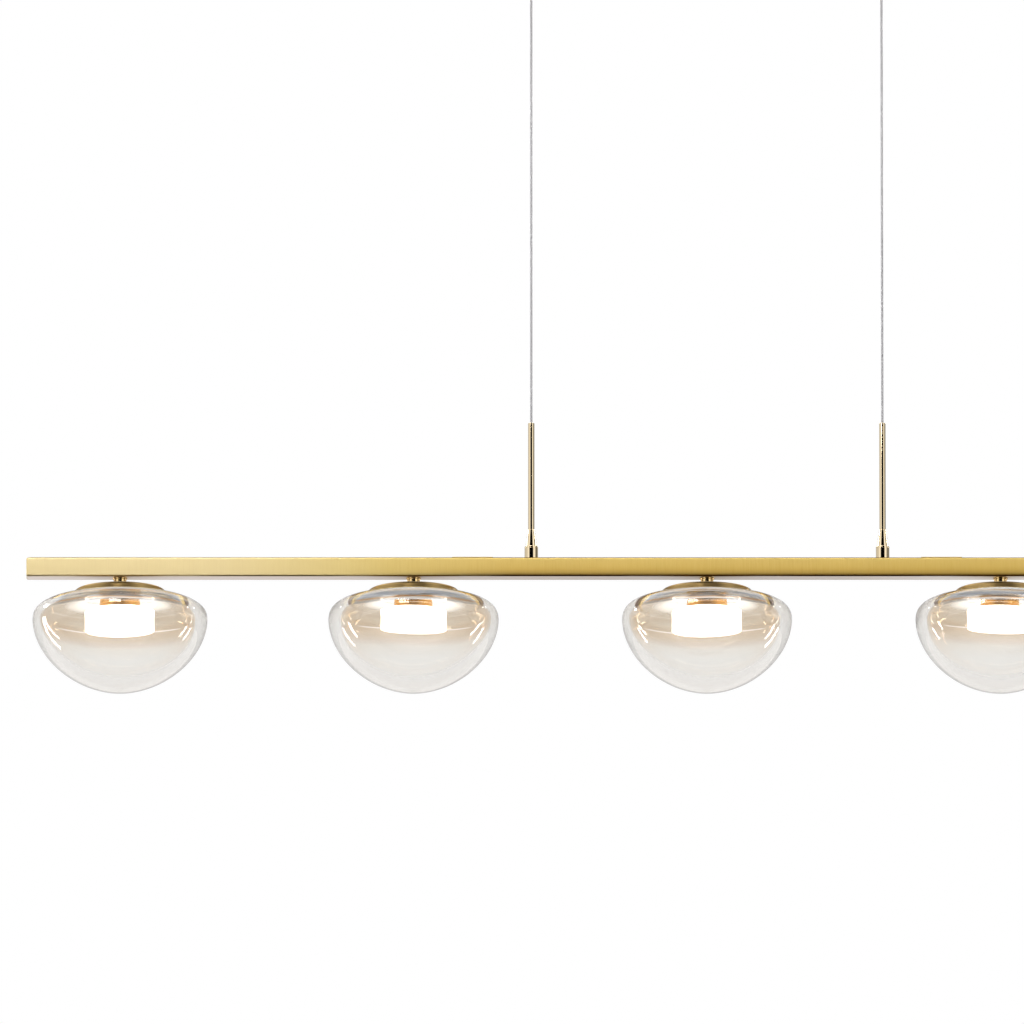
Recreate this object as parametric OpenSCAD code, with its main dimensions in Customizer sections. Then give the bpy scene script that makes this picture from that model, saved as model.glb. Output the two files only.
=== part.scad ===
// Linear chandelier: five thick blown glass lamps under a square brass bar that hangs on
// two cables from a ceiling canopy. Millimetres, +Z up, X along the bar. The origin is the
// centre of the canopy on the ceiling plane.

/* [Bar] */
// Length of the bar beyond each outer lamp, with its end cap
bar_end = 97; // [92:1:180]
// Side of the square tube
bar_side = 20; // [18:0.5:26]
// Wall of the square tube
bar_wall = 1.5; // [1:0.1:2.5]
// Thickness of the plate that closes each end
end_cap_t = 2; // [1:0.5:5]
// Depth of the plug that holds an end cap in the tube
end_plug_l = 8; // [4:1:15]
// Distance between neighbouring lamps
lamp_pitch = 304; // [230:1:320]

/* [Access plates] */
// Distance of each access plate from the middle of the bar
access_x = 243; // [215:1:260]
// Length of an access plate
access_l = 42; // [36:1:60]
// Width of an access plate
access_w = 15; // [14:0.5:18]
// Thickness of an access plate
access_t = 1; // [0.6:0.1:2]
// Length of the window that the plate covers
window_l = 24; // [16:1:26]
// Width of the window that the plate covers
window_w = 11; // [8:0.5:13]
// Distance of each plate screw from the plate's end
access_screw_inset = 4; // [3.5:0.1:4.5]
// Head diameter of a plate screw
access_head_d = 4.2; // [3.4:0.1:5]
// Shank diameter of a plate screw
access_shank_d = 2.4; // [1.6:0.1:2.8]
// Shank length of a plate screw
access_shank_l = 4; // [3:0.5:5]

/* [Suspension] */
// Distance between the two cables
cable_span = 364; // [340:1:380]
// Diameter of a cable over its jacket
cable_d = 2.4; // [1.6:0.1:2.6]
// Free cable between a gripper nozzle and a stem
cable_drop = 480; // [400:10:1500]
// Bore that the cable runs through, in stem, collar, ferrule and nozzle
cable_bore_d = 3.2; // [3.0:0.1:3.6]
// Length of a stem
stem_l = 113; // [60:1:200]
// Diameter of a stem
stem_d = 6.6; // [6:0.1:8]
// Diameter of the spigot that seats a stem in its collar
spigot_d = 5; // [4.4:0.1:5.6]
// Depth of that spigot
spigot_l = 7; // [4:1:12]
// Height of the tapered collar
collar_h = 18.3; // [14:0.1:30]
// Diameter of the collar at its foot
collar_base_d = 12; // [11:0.1:13.4]
// Height of the ferrule on the bar
ferrule_h = 13; // [8:0.5:20]
// Diameter of the ferrule
ferrule_d = 14; // [13.5:0.1:16]
// Diameter of the ferrule's threaded shank
shank_d = 8; // [7:0.5:9]
// Width across the flats of the nuts inside the bar
nut_af = 13; // [12:0.5:14]
// Height of the nuts inside the bar
nut_h = 5; // [4:0.5:5.5]
// Side of the crimp stop at the end of a cable
stop_side = 5; // [4.5:0.1:5.5]
// Height of the crimp stop
stop_h = 5; // [4:0.5:6]

/* [Lamp posts and caps] */
// Gap between the bar and the top of a lamp cap
post_h = 6.2; // [5:0.1:20]
// Diameter of a post
post_d = 13.2; // [11:0.1:16]
// Diameter of the flange of a post against the bar
post_flange_d = 15.4; // [15:0.1:19]
// Thickness of that flange
post_flange_t = 1.5; // [1:0.1:3]
// Bore of a post for the lamp leads
lead_bore_d = 4.4; // [4:0.1:5]
// Outer diameter of a lamp cap
cap_d = 94.6; // [93:0.2:105]
// Wall of a lamp cap
cap_wall = 1.2; // [0.8:0.1:1.5]
// Radius of the raised boss of a cap
cap_boss_r = 13.5; // [13:0.5:16]
// Height of the boss over the plateau of the cap
cap_boss_h = 6.3; // [5.5:0.1:8]
// Width of the slope round the boss
cap_slope_w = 5; // [3:0.5:10]
// Width of the rounded edge of a cap
cap_edge_w = 7; // [3:0.5:10]
// Height of the rounded edge of a cap
cap_edge_h = 3; // [2:0.1:3.2]
// Height from the plateau of a cap to its rim
cap_skirt_h = 8.7; // [8.5:0.1:12]

/* [Glass] */
// Widest radius of the glass
glass_r = 88.5; // [84:0.5:96]
// Height of the shoulder above the widest line
shoulder_h = 22.6; // [22:0.2:30]
// Depth of the bowl below the widest line
bowl_h = 76.8; // [70:0.2:100]
// Roundness of the shoulder, 2 is an ellipse
shoulder_power = 2.26; // [2:0.02:2.6]
// Roundness of the bowl, 2 is an ellipse
bowl_power = 1.85; // [1.75:0.01:2.2]
// Wall of the glass at its widest line
glass_side_wall = 10.5; // [6:0.5:12]
// Wall of the glass under the shoulder
glass_top_wall = 5; // [4:0.5:6]
// Wall of the glass at the bottom of the bowl
glass_base_wall = 15; // [8:0.5:18]
// Radius of the neck opening
neck_r = 38; // [37.8:0.1:39]
// Radius of the neck in the groove that the fitter screws enter
groove_r = 41; // [40.5:0.1:41.5]
// Radius of the lip over the groove
lip_r = 43.8; // [43:0.1:44]
// Thickness of the lip
lip_h = 1.5; // [1.2:0.1:2]
// Height of the neck above the shoulder
neck_h = 6; // [5.6:0.1:6.2]
// Shank diameter of a fitter screw
fitter_d = 2.6; // [2:0.1:2.8]
// Head diameter of a fitter screw
fitter_head_d = 4; // [3.4:0.1:4.4]
// Length of the head of a fitter screw
fitter_head_l = 2; // [1.5:0.1:4]

/* [Light unit] */
// Diameter of the holder
holder_d = 41.4; // [36:0.2:46]
// Depth of the drum's top below the bar
drum_depth = 35.5; // [34:0.5:40]
// Diameter of the lit drum
drum_d = 70; // [68:0.5:73.6]
// Height of the lit drum
drum_h = 22.3; // [16:0.1:30]
// Wall of the drum
drum_wall = 2; // [1.5:0.1:3]
// Thickness of the plate that carries the board
plate_t = 3; // [2.6:0.1:5]
// Diameter of the board
board_d = 62; // [50:1:65]
// Thickness of the board
board_t = 1.6; // [1:0.1:2]
// Radius of the ring of emitters on the board
emitter_ring_r = 22; // [15:0.5:23]
// Number of emitters on the board
emitter_count = 16; // [8:1:20]

/* [Canopy] */
// Distance of each cable from the canopy's end
canopy_end = 48; // [45:1:90]
// Width of the canopy
canopy_w = 115; // [105:1:140]
// Depth of the canopy
canopy_h = 30; // [29:0.5:45]
// Sheet thickness of the canopy
canopy_wall = 1.2; // [0.8:0.1:2]
// Radius of the lower edge of the canopy
canopy_edge_r = 6; // [4:0.5:9]
// Length of the flat mounting bar beyond each canopy stud
strap_end = 13; // [8:0.5:15]
// Width of the mounting bar
strap_w = 30; // [24:1:40]
// Thickness of the mounting bar
strap_t = 3; // [2:0.5:3.5]
// Distance between the two outlet box slots
box_screw_span = 88.9; // [83:0.1:90]
// Width of an outlet box slot
box_slot_w = 4.4; // [4:0.1:5.5]
// Length of an outlet box slot
box_slot_l = 10; // [8:0.5:14]
// Diameter of the wire hole in the mounting bar
wire_hole_d = 16; // [10:1:20]
// Distance of each canopy stud from its cable
stud_out = 23; // [21:0.5:26]
// Diameter of a stud
stud_d = 5; // [4:0.1:6]
// Diameter of a cap nut under the canopy
cap_nut_d = 12; // [10:0.5:14]
// Height of a cap nut
cap_nut_h = 9; // [8:0.5:12]

/* [Driver] */
// Middle of the driver along the canopy
driver_x = 112; // [110:1:114]
// Length of the driver's case
driver_l = 90; // [80:1:92]
// Width of the driver's case
driver_w = 42; // [34:1:46]
// Height of the driver's case
driver_h = 20; // [16:0.5:22]
// Length of the driver's fixing tabs
tab_l = 8; // [7:0.5:9]
// Thickness of the fixing tabs
tab_t = 2; // [1.5:0.1:3]
// Diameter of the screws under the mounting bar
box_screw_d = 4; // [3:0.1:4.5]
// Middle of the terminal block along the canopy
terminal_x = -80; // [-90:1:-75]
// Length of the terminal block
terminal_l = 20; // [16:1:30]
// Width of the terminal block
terminal_w = 18; // [14:1:24]
// Height of the terminal block
terminal_h = 13; // [10:0.5:16]
// Diameter of the jacketed lead between terminal block and driver
supply_lead_d = 5; // [4:0.1:6]
// Length of the rounding of a lead at each bend
lead_bend = 5; // [3:0.5:5.5]

/* [Grippers] */
// Diameter of a gripper body
gripper_d = 14; // [12:0.5:18]
// Length of a gripper body under the canopy
gripper_h = 20; // [18:0.5:30]
// Diameter of a gripper's threaded shank
gripper_shank_d = 10; // [8:0.5:11]
// Length of that shank above the canopy floor
gripper_shank_l = 7; // [6:0.5:9]
// Diameter of the release nozzle
nozzle_d = 6.6; // [5.6:0.1:8]
// Length of the nozzle outside its body, with its button
nozzle_out = 8; // [6.5:0.5:12]
// Length of the nozzle inside its body
nozzle_in = 10; // [8:0.5:12]
// Diameter of the button at the end of the nozzle
button_d = 9; // [8.5:0.1:12]
// Length of that button
button_l = 3.5; // [2.5:0.1:3.8]
// Travel of the nozzle when it is pressed
nozzle_travel = 2.5; // [1:0.1:2.6]

/* [Wires] */
// Diameter of the wires along the bar
bus_d = 1.6; // [1.4:0.1:1.8]
// Distance of each bar wire from the middle plane
bus_y = 4.6; // [4:0.1:5]
// Diameter of the drop wires to a lamp
drop_d = 1; // [0.8:0.1:1.2]
// Distance of each drop wire from a lamp's axis
drop_y = 0.9; // [0.8:0.05:1.1]

/* [Clearances] */
// Gap between pieces that pass each other freely
gap = 0.4; // [0.3:0.05:0.5]
// Gap round a threaded shank or a spigot in its hole, on radius
seat_gap = 0.1; // [0.05:0.01:0.15]
// Gap round the nozzle in its body, on radius
slide_gap = 0.08; // [0.03:0.01:0.1]

/* [Hidden] */
brass = [0.83, 0.70, 0.40];
pale_gold = [0.80, 0.72, 0.56];
steel = [0.72, 0.72, 0.73];
opal = [0.97, 0.97, 0.95];
tinted = [0.90, 0.86, 0.80, 0.5];
copper = [0.72, 0.45, 0.28];
case_white = [0.92, 0.92, 0.90];
round_fn = 96;
small_fn = 48;
arc_steps = 18;
eps = 0.01;
past = 1; // reach of a cutter beyond the face that it opens
thread_past = 1; // thread left standing beyond a nut
bus_past = 3; // bar wire left beyond the last lamp
elbow_extra = 0.2; // how much thicker a wire is at its elbow
post_seat = 4; // depth of a post's or a collar's lower shank in the piece below
seat_end = 0.2; // free end of a seated shank or spigot in its hole
taper_step = 0.4; // ledge of the collar round the stem
seam_w = 0.4; // turned line near the ferrule's top
seam_depth = 0.25;
seam_low = 1.6;
groove_w = 0.6; // turned groove near the holder's lower edge
groove_depth = 0.4;
groove_low = 2;
stop_gap = 0.35; // radial room of a cable in its stop
stop_floor = 0.7; // floor of a stop under the cable's end
cable_in = 1; // overlap of the cable with its stop and its nozzle
lead_straight = 12; // straight run of a lead beside a case
lead_sweep = 25; // run of the supply lead to its side lane
lead_side = 20; // distance of that lane from the middle
lead_drop = 2; // supply lead's distance under the middle of the terminal block
tail_sweep = 22; // run of the left cable's tail to its lane
lane_gap = 9; // distance of that lane from the driver
tail_turn = 14; // run of its turn at the driver's end
tail_back = 4;
tail_side = 8; // distance of its entry from the middle
lip_gap = 0.3; // room of a fitter screw under the lip
fitter_reach = 0.3; // room between a fitter screw and the neck
fitter_out = 0.5; // shank of a fitter screw outside the cap
plate_gap = 0.2; // room of the board's plate in the drum
stud_nut_d = 9.2; // hexagon that holds a stud under the mounting bar
stud_nut_h = 3.5;
stud_low = 0.3; // distance of a stud's head from the ceiling
cap_nut_wall = 2; // crown of a cap nut under the stud
gripper_nut_h = 4.5;
screw_head_h = 2.4; // head of a screw under the mounting bar
screw_short = 0.2; // distance of such a screw from the ceiling
emitter_side = 3;
emitter_h = 0.7;
plate_screw_edge = 0.6; // rounding of a plate screw's head
drum_edge = 0.8; // rounding of the drum's lower edge
shoulder_step = 3.7; // flat ring of the glass round its neck

// heights from the ceiling plane down
nozzle_tip_z = -(canopy_h + gripper_h + nozzle_out);
stem_top_z = nozzle_tip_z - cable_drop;
collar_top_z = stem_top_z - stem_l;
ferrule_top_z = collar_top_z - collar_h;
bar_top_z = ferrule_top_z - ferrule_h;
bar_low_z = bar_top_z - bar_side;
shank_low_z = bar_top_z - bar_wall - nut_h - thread_past;
post_shank_z = bar_low_z + bar_wall + nut_h;
stop_low_z = shank_low_z - stop_h;
bus_z = (stop_low_z + shank_low_z) / 2;
// heights of a lamp, from the bar's underside down
boss_z = bar_low_z - post_h;
plateau_z = boss_z - cap_boss_h;
rim_z = plateau_z - cap_skirt_h;
shoulder_z = rim_z - gap;
wide_z = shoulder_z - shoulder_h;
glass_low_z = wide_z - bowl_h;
lip_top_z = shoulder_z + neck_h;
lip_low_z = lip_top_z - lip_h;
fitter_z = lip_low_z - fitter_d / 2 - lip_gap;
drum_top_z = bar_low_z - drum_depth;
drum_low_z = drum_top_z - drum_h;
cap_r = cap_d / 2;
cable_x = cable_span / 2;
stud_x = cable_x + stud_out;
strap_l = 2 * (stud_x + strap_end);
canopy_l = cable_span + 2 * canopy_end;
bar_l = 4 * lamp_pitch + 2 * bar_end;
tube_bore = bar_side - 2 * bar_wall;
access_screw_x = access_l / 2 - access_screw_inset;
plate_r = drum_d / 2 - drum_wall - plate_gap;
bead_h = 0.8;
bead_in = 0.6;
floor_z = canopy_wall - canopy_h;
shank_top_z = floor_z + gripper_shank_l;
lead_z = shank_top_z + 7;
driver_end = driver_x + driver_l / 2;
fitter_angles = [-33, 87, 207];
lamp_x = [for (i = [-2:2]) i * lamp_pitch];

// quarter of a superellipse from (r0 + w, z0) up or down to (r0, z0 + h)
function quarter(r0, w, z0, h, power) =
    [for (i = [0:arc_steps]) let (a = 90 * i / arc_steps)
        [r0 + w * pow(cos(a), 2 / power), z0 + h * pow(sin(a), 2 / power)]];

function reversed(list) = [for (i = [len(list) - 1:-1:0]) list[i]];

// round rod between two heights
module rod(low, high, d) {
    translate([0, 0, low]) cylinder(h = high - low, d = d, $fn = round_fn);
}

// straight piece of the drop wire across the bar, from one distance to the other
module cross_wire(x, from_y, to_y) {
    translate([x, from_y, bus_z])
        rotate([to_y > from_y ? -90 : 90, 0, 0])
            cylinder(h = abs(to_y - from_y), d = drop_d, $fn = small_fn);
}

module hex_nut(low, h, af, bore) {
    translate([0, 0, low])
        difference() {
            cylinder(h = h, d = af / cos(30), $fn = 6);
            translate([0, 0, -1]) cylinder(h = h + 2, d = bore, $fn = round_fn);
        }
}

// ceiling side

module mounting_bar() {
    color(steel)
        translate([0, 0, -strap_t])
            difference() {
                translate([-strap_l / 2, -strap_w / 2, 0]) cube([strap_l, strap_w, strap_t]);
                translate([0, 0, -1]) cylinder(h = strap_t + 2, d = wire_hole_d, $fn = round_fn);
                for (side = [-1, 1]) {
                    translate([side * box_screw_span / 2, 0, -1]) box_slot();
                    translate([side * stud_x, 0, -1])
                        cylinder(h = strap_t + 2, d = stud_d + 2 * seat_gap, $fn = round_fn);
                    translate([driver_x + side * (driver_l + tab_l) / 2, 0, -1]) box_screw_hole();
                }
                translate([terminal_x - terminal_l, 0, -1]) box_screw_hole();
            }
}

module box_slot() {
    straight = box_slot_l - box_slot_w;
    for (side = [-1, 1])
        translate([side * straight / 2, 0, 0])
            cylinder(h = strap_t + 2, d = box_slot_w, $fn = round_fn);
    translate([-straight / 2, -box_slot_w / 2, 0]) cube([straight, box_slot_w, strap_t + 2]);
}

module box_screw_hole() {
    cylinder(h = strap_t + 2, d = box_screw_d + 2 * seat_gap, $fn = round_fn);
}

// long pan with round ends: half section swept along the middle and turned at both ends
module canopy_pan(inset, rise) {
    r = canopy_w / 2 - inset;
    edge = canopy_edge_r - inset;
    straight = canopy_l - canopy_w;
    depth = canopy_h - inset;
    translate([-straight / 2, 0, 0])
        rotate([90, 0, 90])
            linear_extrude(height = straight)
                union() {
                    pan_section(r, edge, depth, rise);
                    mirror([1, 0]) pan_section(r, edge, depth, rise);
                }
    for (side = [-1, 1])
        translate([side * straight / 2, 0, 0])
            rotate_extrude($fn = round_fn) pan_section(r, edge, depth, rise);
}

module pan_section(r, edge, depth, rise) {
    polygon(concat(
        [[0, rise], [0, -depth], [r - edge, -depth]],
        [for (i = [1:8]) [r - edge + edge * sin(90 * i / 8), -depth + edge * (1 - cos(90 * i / 8))]],
        [[r, rise]]));
}

module canopy() {
    color(brass)
        difference() {
            canopy_pan(0, 0);
            canopy_pan(canopy_wall, past);
            for (side = [-1, 1]) {
                translate([side * cable_x, 0, -canopy_h - 1])
                    cylinder(h = canopy_h, d = gripper_shank_d + 2 * seat_gap, $fn = round_fn);
                translate([side * stud_x, 0, -canopy_h - 1])
                    cylinder(h = canopy_h, d = stud_d + 2 * gap, $fn = round_fn);
            }
        }
}

module canopy_studs() {
    color(steel)
        for (side = [-1, 1])
            translate([side * stud_x, 0, 0]) {
                rod(cap_nut_wall + 0.5 - canopy_h - cap_nut_h, -stud_low, stud_d);
                translate([0, 0, -strap_t - stud_nut_h]) cylinder(h = stud_nut_h, d = stud_nut_d, $fn = 6);
            }
}

module canopy_nuts() {
    color(brass)
        for (side = [-1, 1])
            translate([side * stud_x, 0, -canopy_h])
                difference() {
                    rotate_extrude($fn = round_fn)
                        polygon(concat([[0, 0], [cap_nut_d / 2, 0]],
                            quarter(0, cap_nut_d / 2, cap_nut_wall - cap_nut_h / 2,
                                -cap_nut_h / 2 - cap_nut_wall, 2.6)));
                    translate([0, 0, cap_nut_wall - cap_nut_h])
                        cylinder(h = cap_nut_h, d = stud_d + 2 * seat_gap, $fn = round_fn);
                }
}

module driver() {
    color(case_white) {
        translate([driver_x - driver_l / 2, -driver_w / 2, -strap_t - driver_h])
            cube([driver_l, driver_w, driver_h]);
        for (side = [-1, 1])
            translate([driver_x + side * (driver_l + tab_l) / 2, 0, -strap_t - tab_t])
                difference() {
                    translate([-tab_l / 2 - eps, -strap_w / 3, 0])
                        cube([tab_l + 2 * eps, 2 * strap_w / 3, tab_t]);
                    translate([0, 0, -1]) box_screw_hole();
                }
    }
}

module canopy_screws() {
    color(steel) {
        for (side = [-1, 1])
            translate([driver_x + side * (driver_l + tab_l) / 2, 0, -strap_t - tab_t]) box_screw(tab_t);
        translate([terminal_x - terminal_l, 0, -strap_t]) box_screw(0);
    }
}

module box_screw(under) {
    translate([0, 0, -screw_head_h]) cylinder(h = screw_head_h, d = box_screw_d * 1.75, $fn = small_fn);
    cylinder(h = strap_t + under - screw_short, d = box_screw_d, $fn = small_fn);
}

module terminal_block() {
    color(case_white)
        translate([terminal_x - terminal_l / 2, -terminal_w / 2, -strap_t - terminal_h])
            difference() {
                cube([terminal_l, terminal_w, terminal_h]);
                for (k = [1, 3])
                    translate([terminal_l / 2, terminal_w * k / 4, -1])
                        cylinder(h = 5, d = 3.4, $fn = round_fn);
            }
}

module gripper(side) {
    color(brass)
        translate([side * cable_x, 0, 0])
            difference() {
                union() {
                    rod(-canopy_h - gripper_h, -canopy_h, gripper_d);
                    rod(-canopy_h - eps, shank_top_z, gripper_shank_d);
                }
                rod(-canopy_h - gripper_h - 1, -canopy_h - gripper_h + nozzle_in + nozzle_travel + 2,
                    nozzle_d + 2 * slide_gap);
                rod(-canopy_h - gripper_h, shank_top_z + 1, cable_bore_d);
            }
}

module nozzle(side) {
    low = nozzle_tip_z;
    color(pale_gold)
        translate([side * cable_x, 0, 0])
            difference() {
                union() {
                    rod(low + button_l - eps, low + nozzle_out + nozzle_in, nozzle_d);
                    rod(low, low + button_l, button_d);
                }
                rod(low - 1, low + nozzle_out + nozzle_in + 1, cable_bore_d);
            }
}

module gripper_nuts() {
    color(steel)
        for (side = [-1, 1])
            translate([side * cable_x, 0, 0])
                hex_nut(floor_z, gripper_nut_h, gripper_shank_d * 1.6, gripper_shank_d + 2 * seat_gap);
}

// route with its corners rounded, each over the given reach
function rounded(points, reach) = concat([points[0]],
    [for (i = [1:len(points) - 2], k = [0:4]) let (
        p = points[i], t = k / 4,
        start = p + reach * unit(points[i - 1] - p), end = p + reach * unit(points[i + 1] - p))
        (1 - t) * (1 - t) * start + 2 * t * (1 - t) * p + t * t * end],
    [points[len(points) - 1]]);

function unit(v) = v / norm(v);

// directions along a route, and side directions carried along without twist
function headings(route) = [for (i = [0:len(route) - 1])
    unit(route[min(i + 1, len(route) - 1)] - route[max(i - 1, 0)])];

function carried(heads, side, i = 0) = let (s = unit(side - (side * heads[i]) * heads[i]))
    i == len(heads) - 1 ? [s] : concat([s], carried(heads, s, i + 1));

// flexible lead swept along a route, ends cut square
module lead(points, d, side) {
    route = rounded(points, lead_bend);
    heads = headings(route);
    sides = carried(heads, side);
    n = 8;
    rings = len(route);
    skin = [for (i = [0:rings - 1], k = [0:n - 1]) let (a = 360 * k / n)
        route[i] + d / 2 * (cos(a) * sides[i] + sin(a) * cross(heads[i], sides[i]))];
    walls = [for (i = [0:rings - 2], k = [0:n - 1]) let (a = i * n + k, b = i * n + (k + 1) % n)
        each [[a, a + n, b], [b, a + n, b + n]]];
    ends = [for (k = [1:n - 2]) each [[0, k, k + 1],
        [(rings - 1) * n, (rings - 1) * n + k + 1, (rings - 1) * n + k]]];
    polyhedron(points = skin, faces = concat(walls, ends));
}

// supply lead, and the two cables' tails from the grippers to the driver
module canopy_leads() {
    tail_low = nozzle_tip_z + cable_in + 0.6;
    mid_z = -strap_t - terminal_h / 2 - lead_drop;
    lane_y = driver_w / 2 + lane_gap;
    turn_x = driver_end + lead_straight;
    block_end = terminal_x + terminal_l / 2;
    driver_start = driver_x - driver_l / 2;
    color(case_white) {
        lead([[block_end, 0, mid_z], [block_end + lead_straight, 0, mid_z],
            [block_end + lead_sweep, lead_side, mid_z], [driver_start - lead_sweep, lead_side, mid_z],
            [driver_start - lead_straight, 0, mid_z], [driver_start, 0, mid_z]],
            supply_lead_d, [0, 0, 1]);
        lead([[cable_x, 0, tail_low], [cable_x, 0, lead_z], [driver_end, 0, lead_z]], cable_d, [1, 0, 0]);
        lead([[-cable_x, 0, tail_low], [-cable_x, 0, lead_z], [-cable_x + tail_sweep, -lane_y, lead_z],
            [turn_x - tail_turn - tail_back, -lane_y, lead_z], [turn_x, -lane_y + tail_turn, lead_z],
            [turn_x, -tail_side, lead_z], [driver_end, -tail_side, lead_z]], cable_d, [1, 0, 0]);
    }
}

// suspension

module cable(side) {
    color(steel)
        translate([side * cable_x, 0, 0]) rod(stop_low_z + cable_in, nozzle_tip_z + cable_in, cable_d);
}

module stem(side) {
    color(pale_gold)
        translate([side * cable_x, 0, 0])
            difference() {
                union() {
                    rod(collar_top_z, stem_top_z, stem_d);
                    rod(collar_top_z - spigot_l, collar_top_z + eps, spigot_d);
                }
                rod(collar_top_z - spigot_l - 1, stem_top_z + 1, cable_bore_d);
            }
}

module collar(side) {
    color(pale_gold)
        translate([side * cable_x, 0, 0])
            difference() {
                union() {
                    translate([0, 0, ferrule_top_z])
                        cylinder(h = collar_h, d1 = collar_base_d, d2 = stem_d + taper_step,
                            $fn = round_fn);
                    rod(ferrule_top_z - post_seat, ferrule_top_z + eps, shank_d);
                }
                rod(ferrule_top_z - post_seat - past, collar_top_z + past, cable_bore_d);
                rod(collar_top_z - spigot_l - seat_end, collar_top_z + past, spigot_d + seat_gap);
            }
}

module ferrule(side) {
    color(pale_gold)
        translate([side * cable_x, 0, 0])
            difference() {
                union() {
                    rod(bar_top_z, ferrule_top_z, ferrule_d);
                    rod(shank_low_z, bar_top_z + eps, shank_d);
                }
                rod(shank_low_z - 1, ferrule_top_z + 1, cable_bore_d);
                rod(ferrule_top_z - post_seat - seat_end, ferrule_top_z + past, shank_d + 2 * seat_gap);
                translate([0, 0, ferrule_top_z - seam_low])
                    rotate_extrude($fn = round_fn)
                        translate([ferrule_d / 2 - seam_depth, 0]) square([past, seam_w]);
            }
}

module stem_nuts() {
    color(steel)
        for (side = [-1, 1])
            translate([side * cable_x, 0, 0])
                hex_nut(bar_top_z - bar_wall - nut_h, nut_h, nut_af, shank_d + 2 * seat_gap);
}

module cable_stops() {
    color(steel)
        for (side = [-1, 1])
            translate([side * cable_x, 0, stop_low_z])
                difference() {
                    translate([-stop_side / 2, -stop_side / 2, 0]) cube([stop_side, stop_side, stop_h]);
                    translate([0, 0, stop_floor])
                        cylinder(h = stop_h, d = cable_d + 2 * stop_gap, $fn = round_fn);
                }
}

// bar

module bar_tube() {
    length = bar_l - 2 * end_cap_t;
    color(brass)
        difference() {
            translate([-length / 2, -bar_side / 2, bar_low_z]) cube([length, bar_side, bar_side]);
            translate([-length / 2 - 1, -tube_bore / 2, bar_low_z + bar_wall])
                cube([length + 2, tube_bore, tube_bore]);
            for (x = lamp_x)
                translate([x, 0, bar_low_z - 1])
                    cylinder(h = bar_wall + 2, d = shank_d + 2 * seat_gap, $fn = round_fn);
            for (side = [-1, 1]) {
                translate([side * cable_x, 0, bar_top_z - bar_wall - 1])
                    cylinder(h = bar_wall + 2, d = shank_d + 2 * seat_gap, $fn = round_fn);
                translate([side * access_x - window_l / 2, -window_w / 2, bar_top_z - bar_wall - 1])
                    cube([window_l, window_w, bar_wall + 2]);
                for (end = [-1, 1])
                    translate([side * access_x + end * access_screw_x, 0, bar_top_z - bar_wall - 1])
                        cylinder(h = bar_wall + 2, d = access_shank_d + 2 * seat_gap, $fn = round_fn);
            }
        }
}

module end_cap(side) {
    plug = tube_bore - 2 * seat_gap;
    color(brass)
        translate([side * (bar_l / 2 - end_cap_t / 2), 0, bar_low_z + bar_side / 2]) {
            cube([end_cap_t, bar_side, bar_side], center = true);
            translate([-side * (end_cap_t + end_plug_l) / 2, 0, 0])
                cube([end_plug_l + eps, plug, plug], center = true);
        }
}

module access_plate(side) {
    color(brass)
        translate([side * access_x, 0, bar_top_z])
            difference() {
                translate([-access_l / 2, -access_w / 2, 0]) cube([access_l, access_w, access_t]);
                for (end = [-1, 1])
                    translate([end * access_screw_x, 0, -1])
                        cylinder(h = access_t + 2, d = access_shank_d + 2 * seat_gap, $fn = round_fn);
            }
}

module access_screws() {
    color(brass)
        for (side = [-1, 1], end = [-1, 1])
            translate([side * access_x + end * access_screw_x, 0, bar_top_z + access_t]) {
                translate([0, 0, -access_shank_l])
                    cylinder(h = access_shank_l, d = access_shank_d, $fn = small_fn);
                rotate_extrude($fn = small_fn)
                    polygon([[0, 0], [access_head_d / 2, 0], [access_head_d / 2, 0.5],
                        [access_head_d / 2 - plate_screw_edge, 1], [0, 1.1]]);
            }
}

// one wire for each pole, with a drop at every lamp and a tap at one cable's crimp stop
module bar_harness() {
    color(copper)
        for (pole = [-1, 1]) {
            translate([-2 * lamp_pitch - bus_past, pole * bus_y, bus_z])
                rotate([0, 90, 0]) cylinder(h = 4 * lamp_pitch + 2 * bus_past, d = bus_d, $fn = small_fn);
            cross_wire(pole * cable_x, pole * bus_y, pole * stop_side / 2);
            for (x = lamp_x) {
                cross_wire(x, pole * bus_y, pole * drop_y);
                translate([x, pole * drop_y, bus_z]) sphere(d = drop_d + elbow_extra, $fn = small_fn);
                translate([x, pole * drop_y, 0]) rod(drum_top_z - plate_t, bus_z, drop_d);
            }
        }
}

// lamps

module post_nuts() {
    color(steel)
        for (x = lamp_x)
            translate([x, 0, 0]) hex_nut(bar_low_z + bar_wall, nut_h - 0.5, nut_af, shank_d + 2 * seat_gap);
}

module post(x) {
    color(brass)
        translate([x, 0, 0])
            difference() {
                union() {
                    rod(boss_z, bar_low_z, post_d);
                    rod(bar_low_z - post_flange_t, bar_low_z, post_flange_d);
                    rod(bar_low_z - eps, post_shank_z, shank_d);
                    rod(plateau_z - post_seat, boss_z + eps, shank_d);
                }
                rod(plateau_z - post_seat - past, post_shank_z + past, lead_bore_d);
            }
}

// outline of the spun cap from its axis to its rim, with the given wall taken off
function cap_outline(t) = concat(
    [[0, boss_z - t]],
    [for (i = [0:12]) [cap_boss_r - t + cap_slope_w * i / 12,
        plateau_z - t + cap_boss_h * (1 + cos(15 * i)) / 2]],
    reversed(quarter(cap_r - cap_edge_w, cap_edge_w - t, plateau_z - cap_edge_h, cap_edge_h - t, 2)),
    [[cap_r - t, rim_z - t]],
    [[0, rim_z - t]]);

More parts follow.
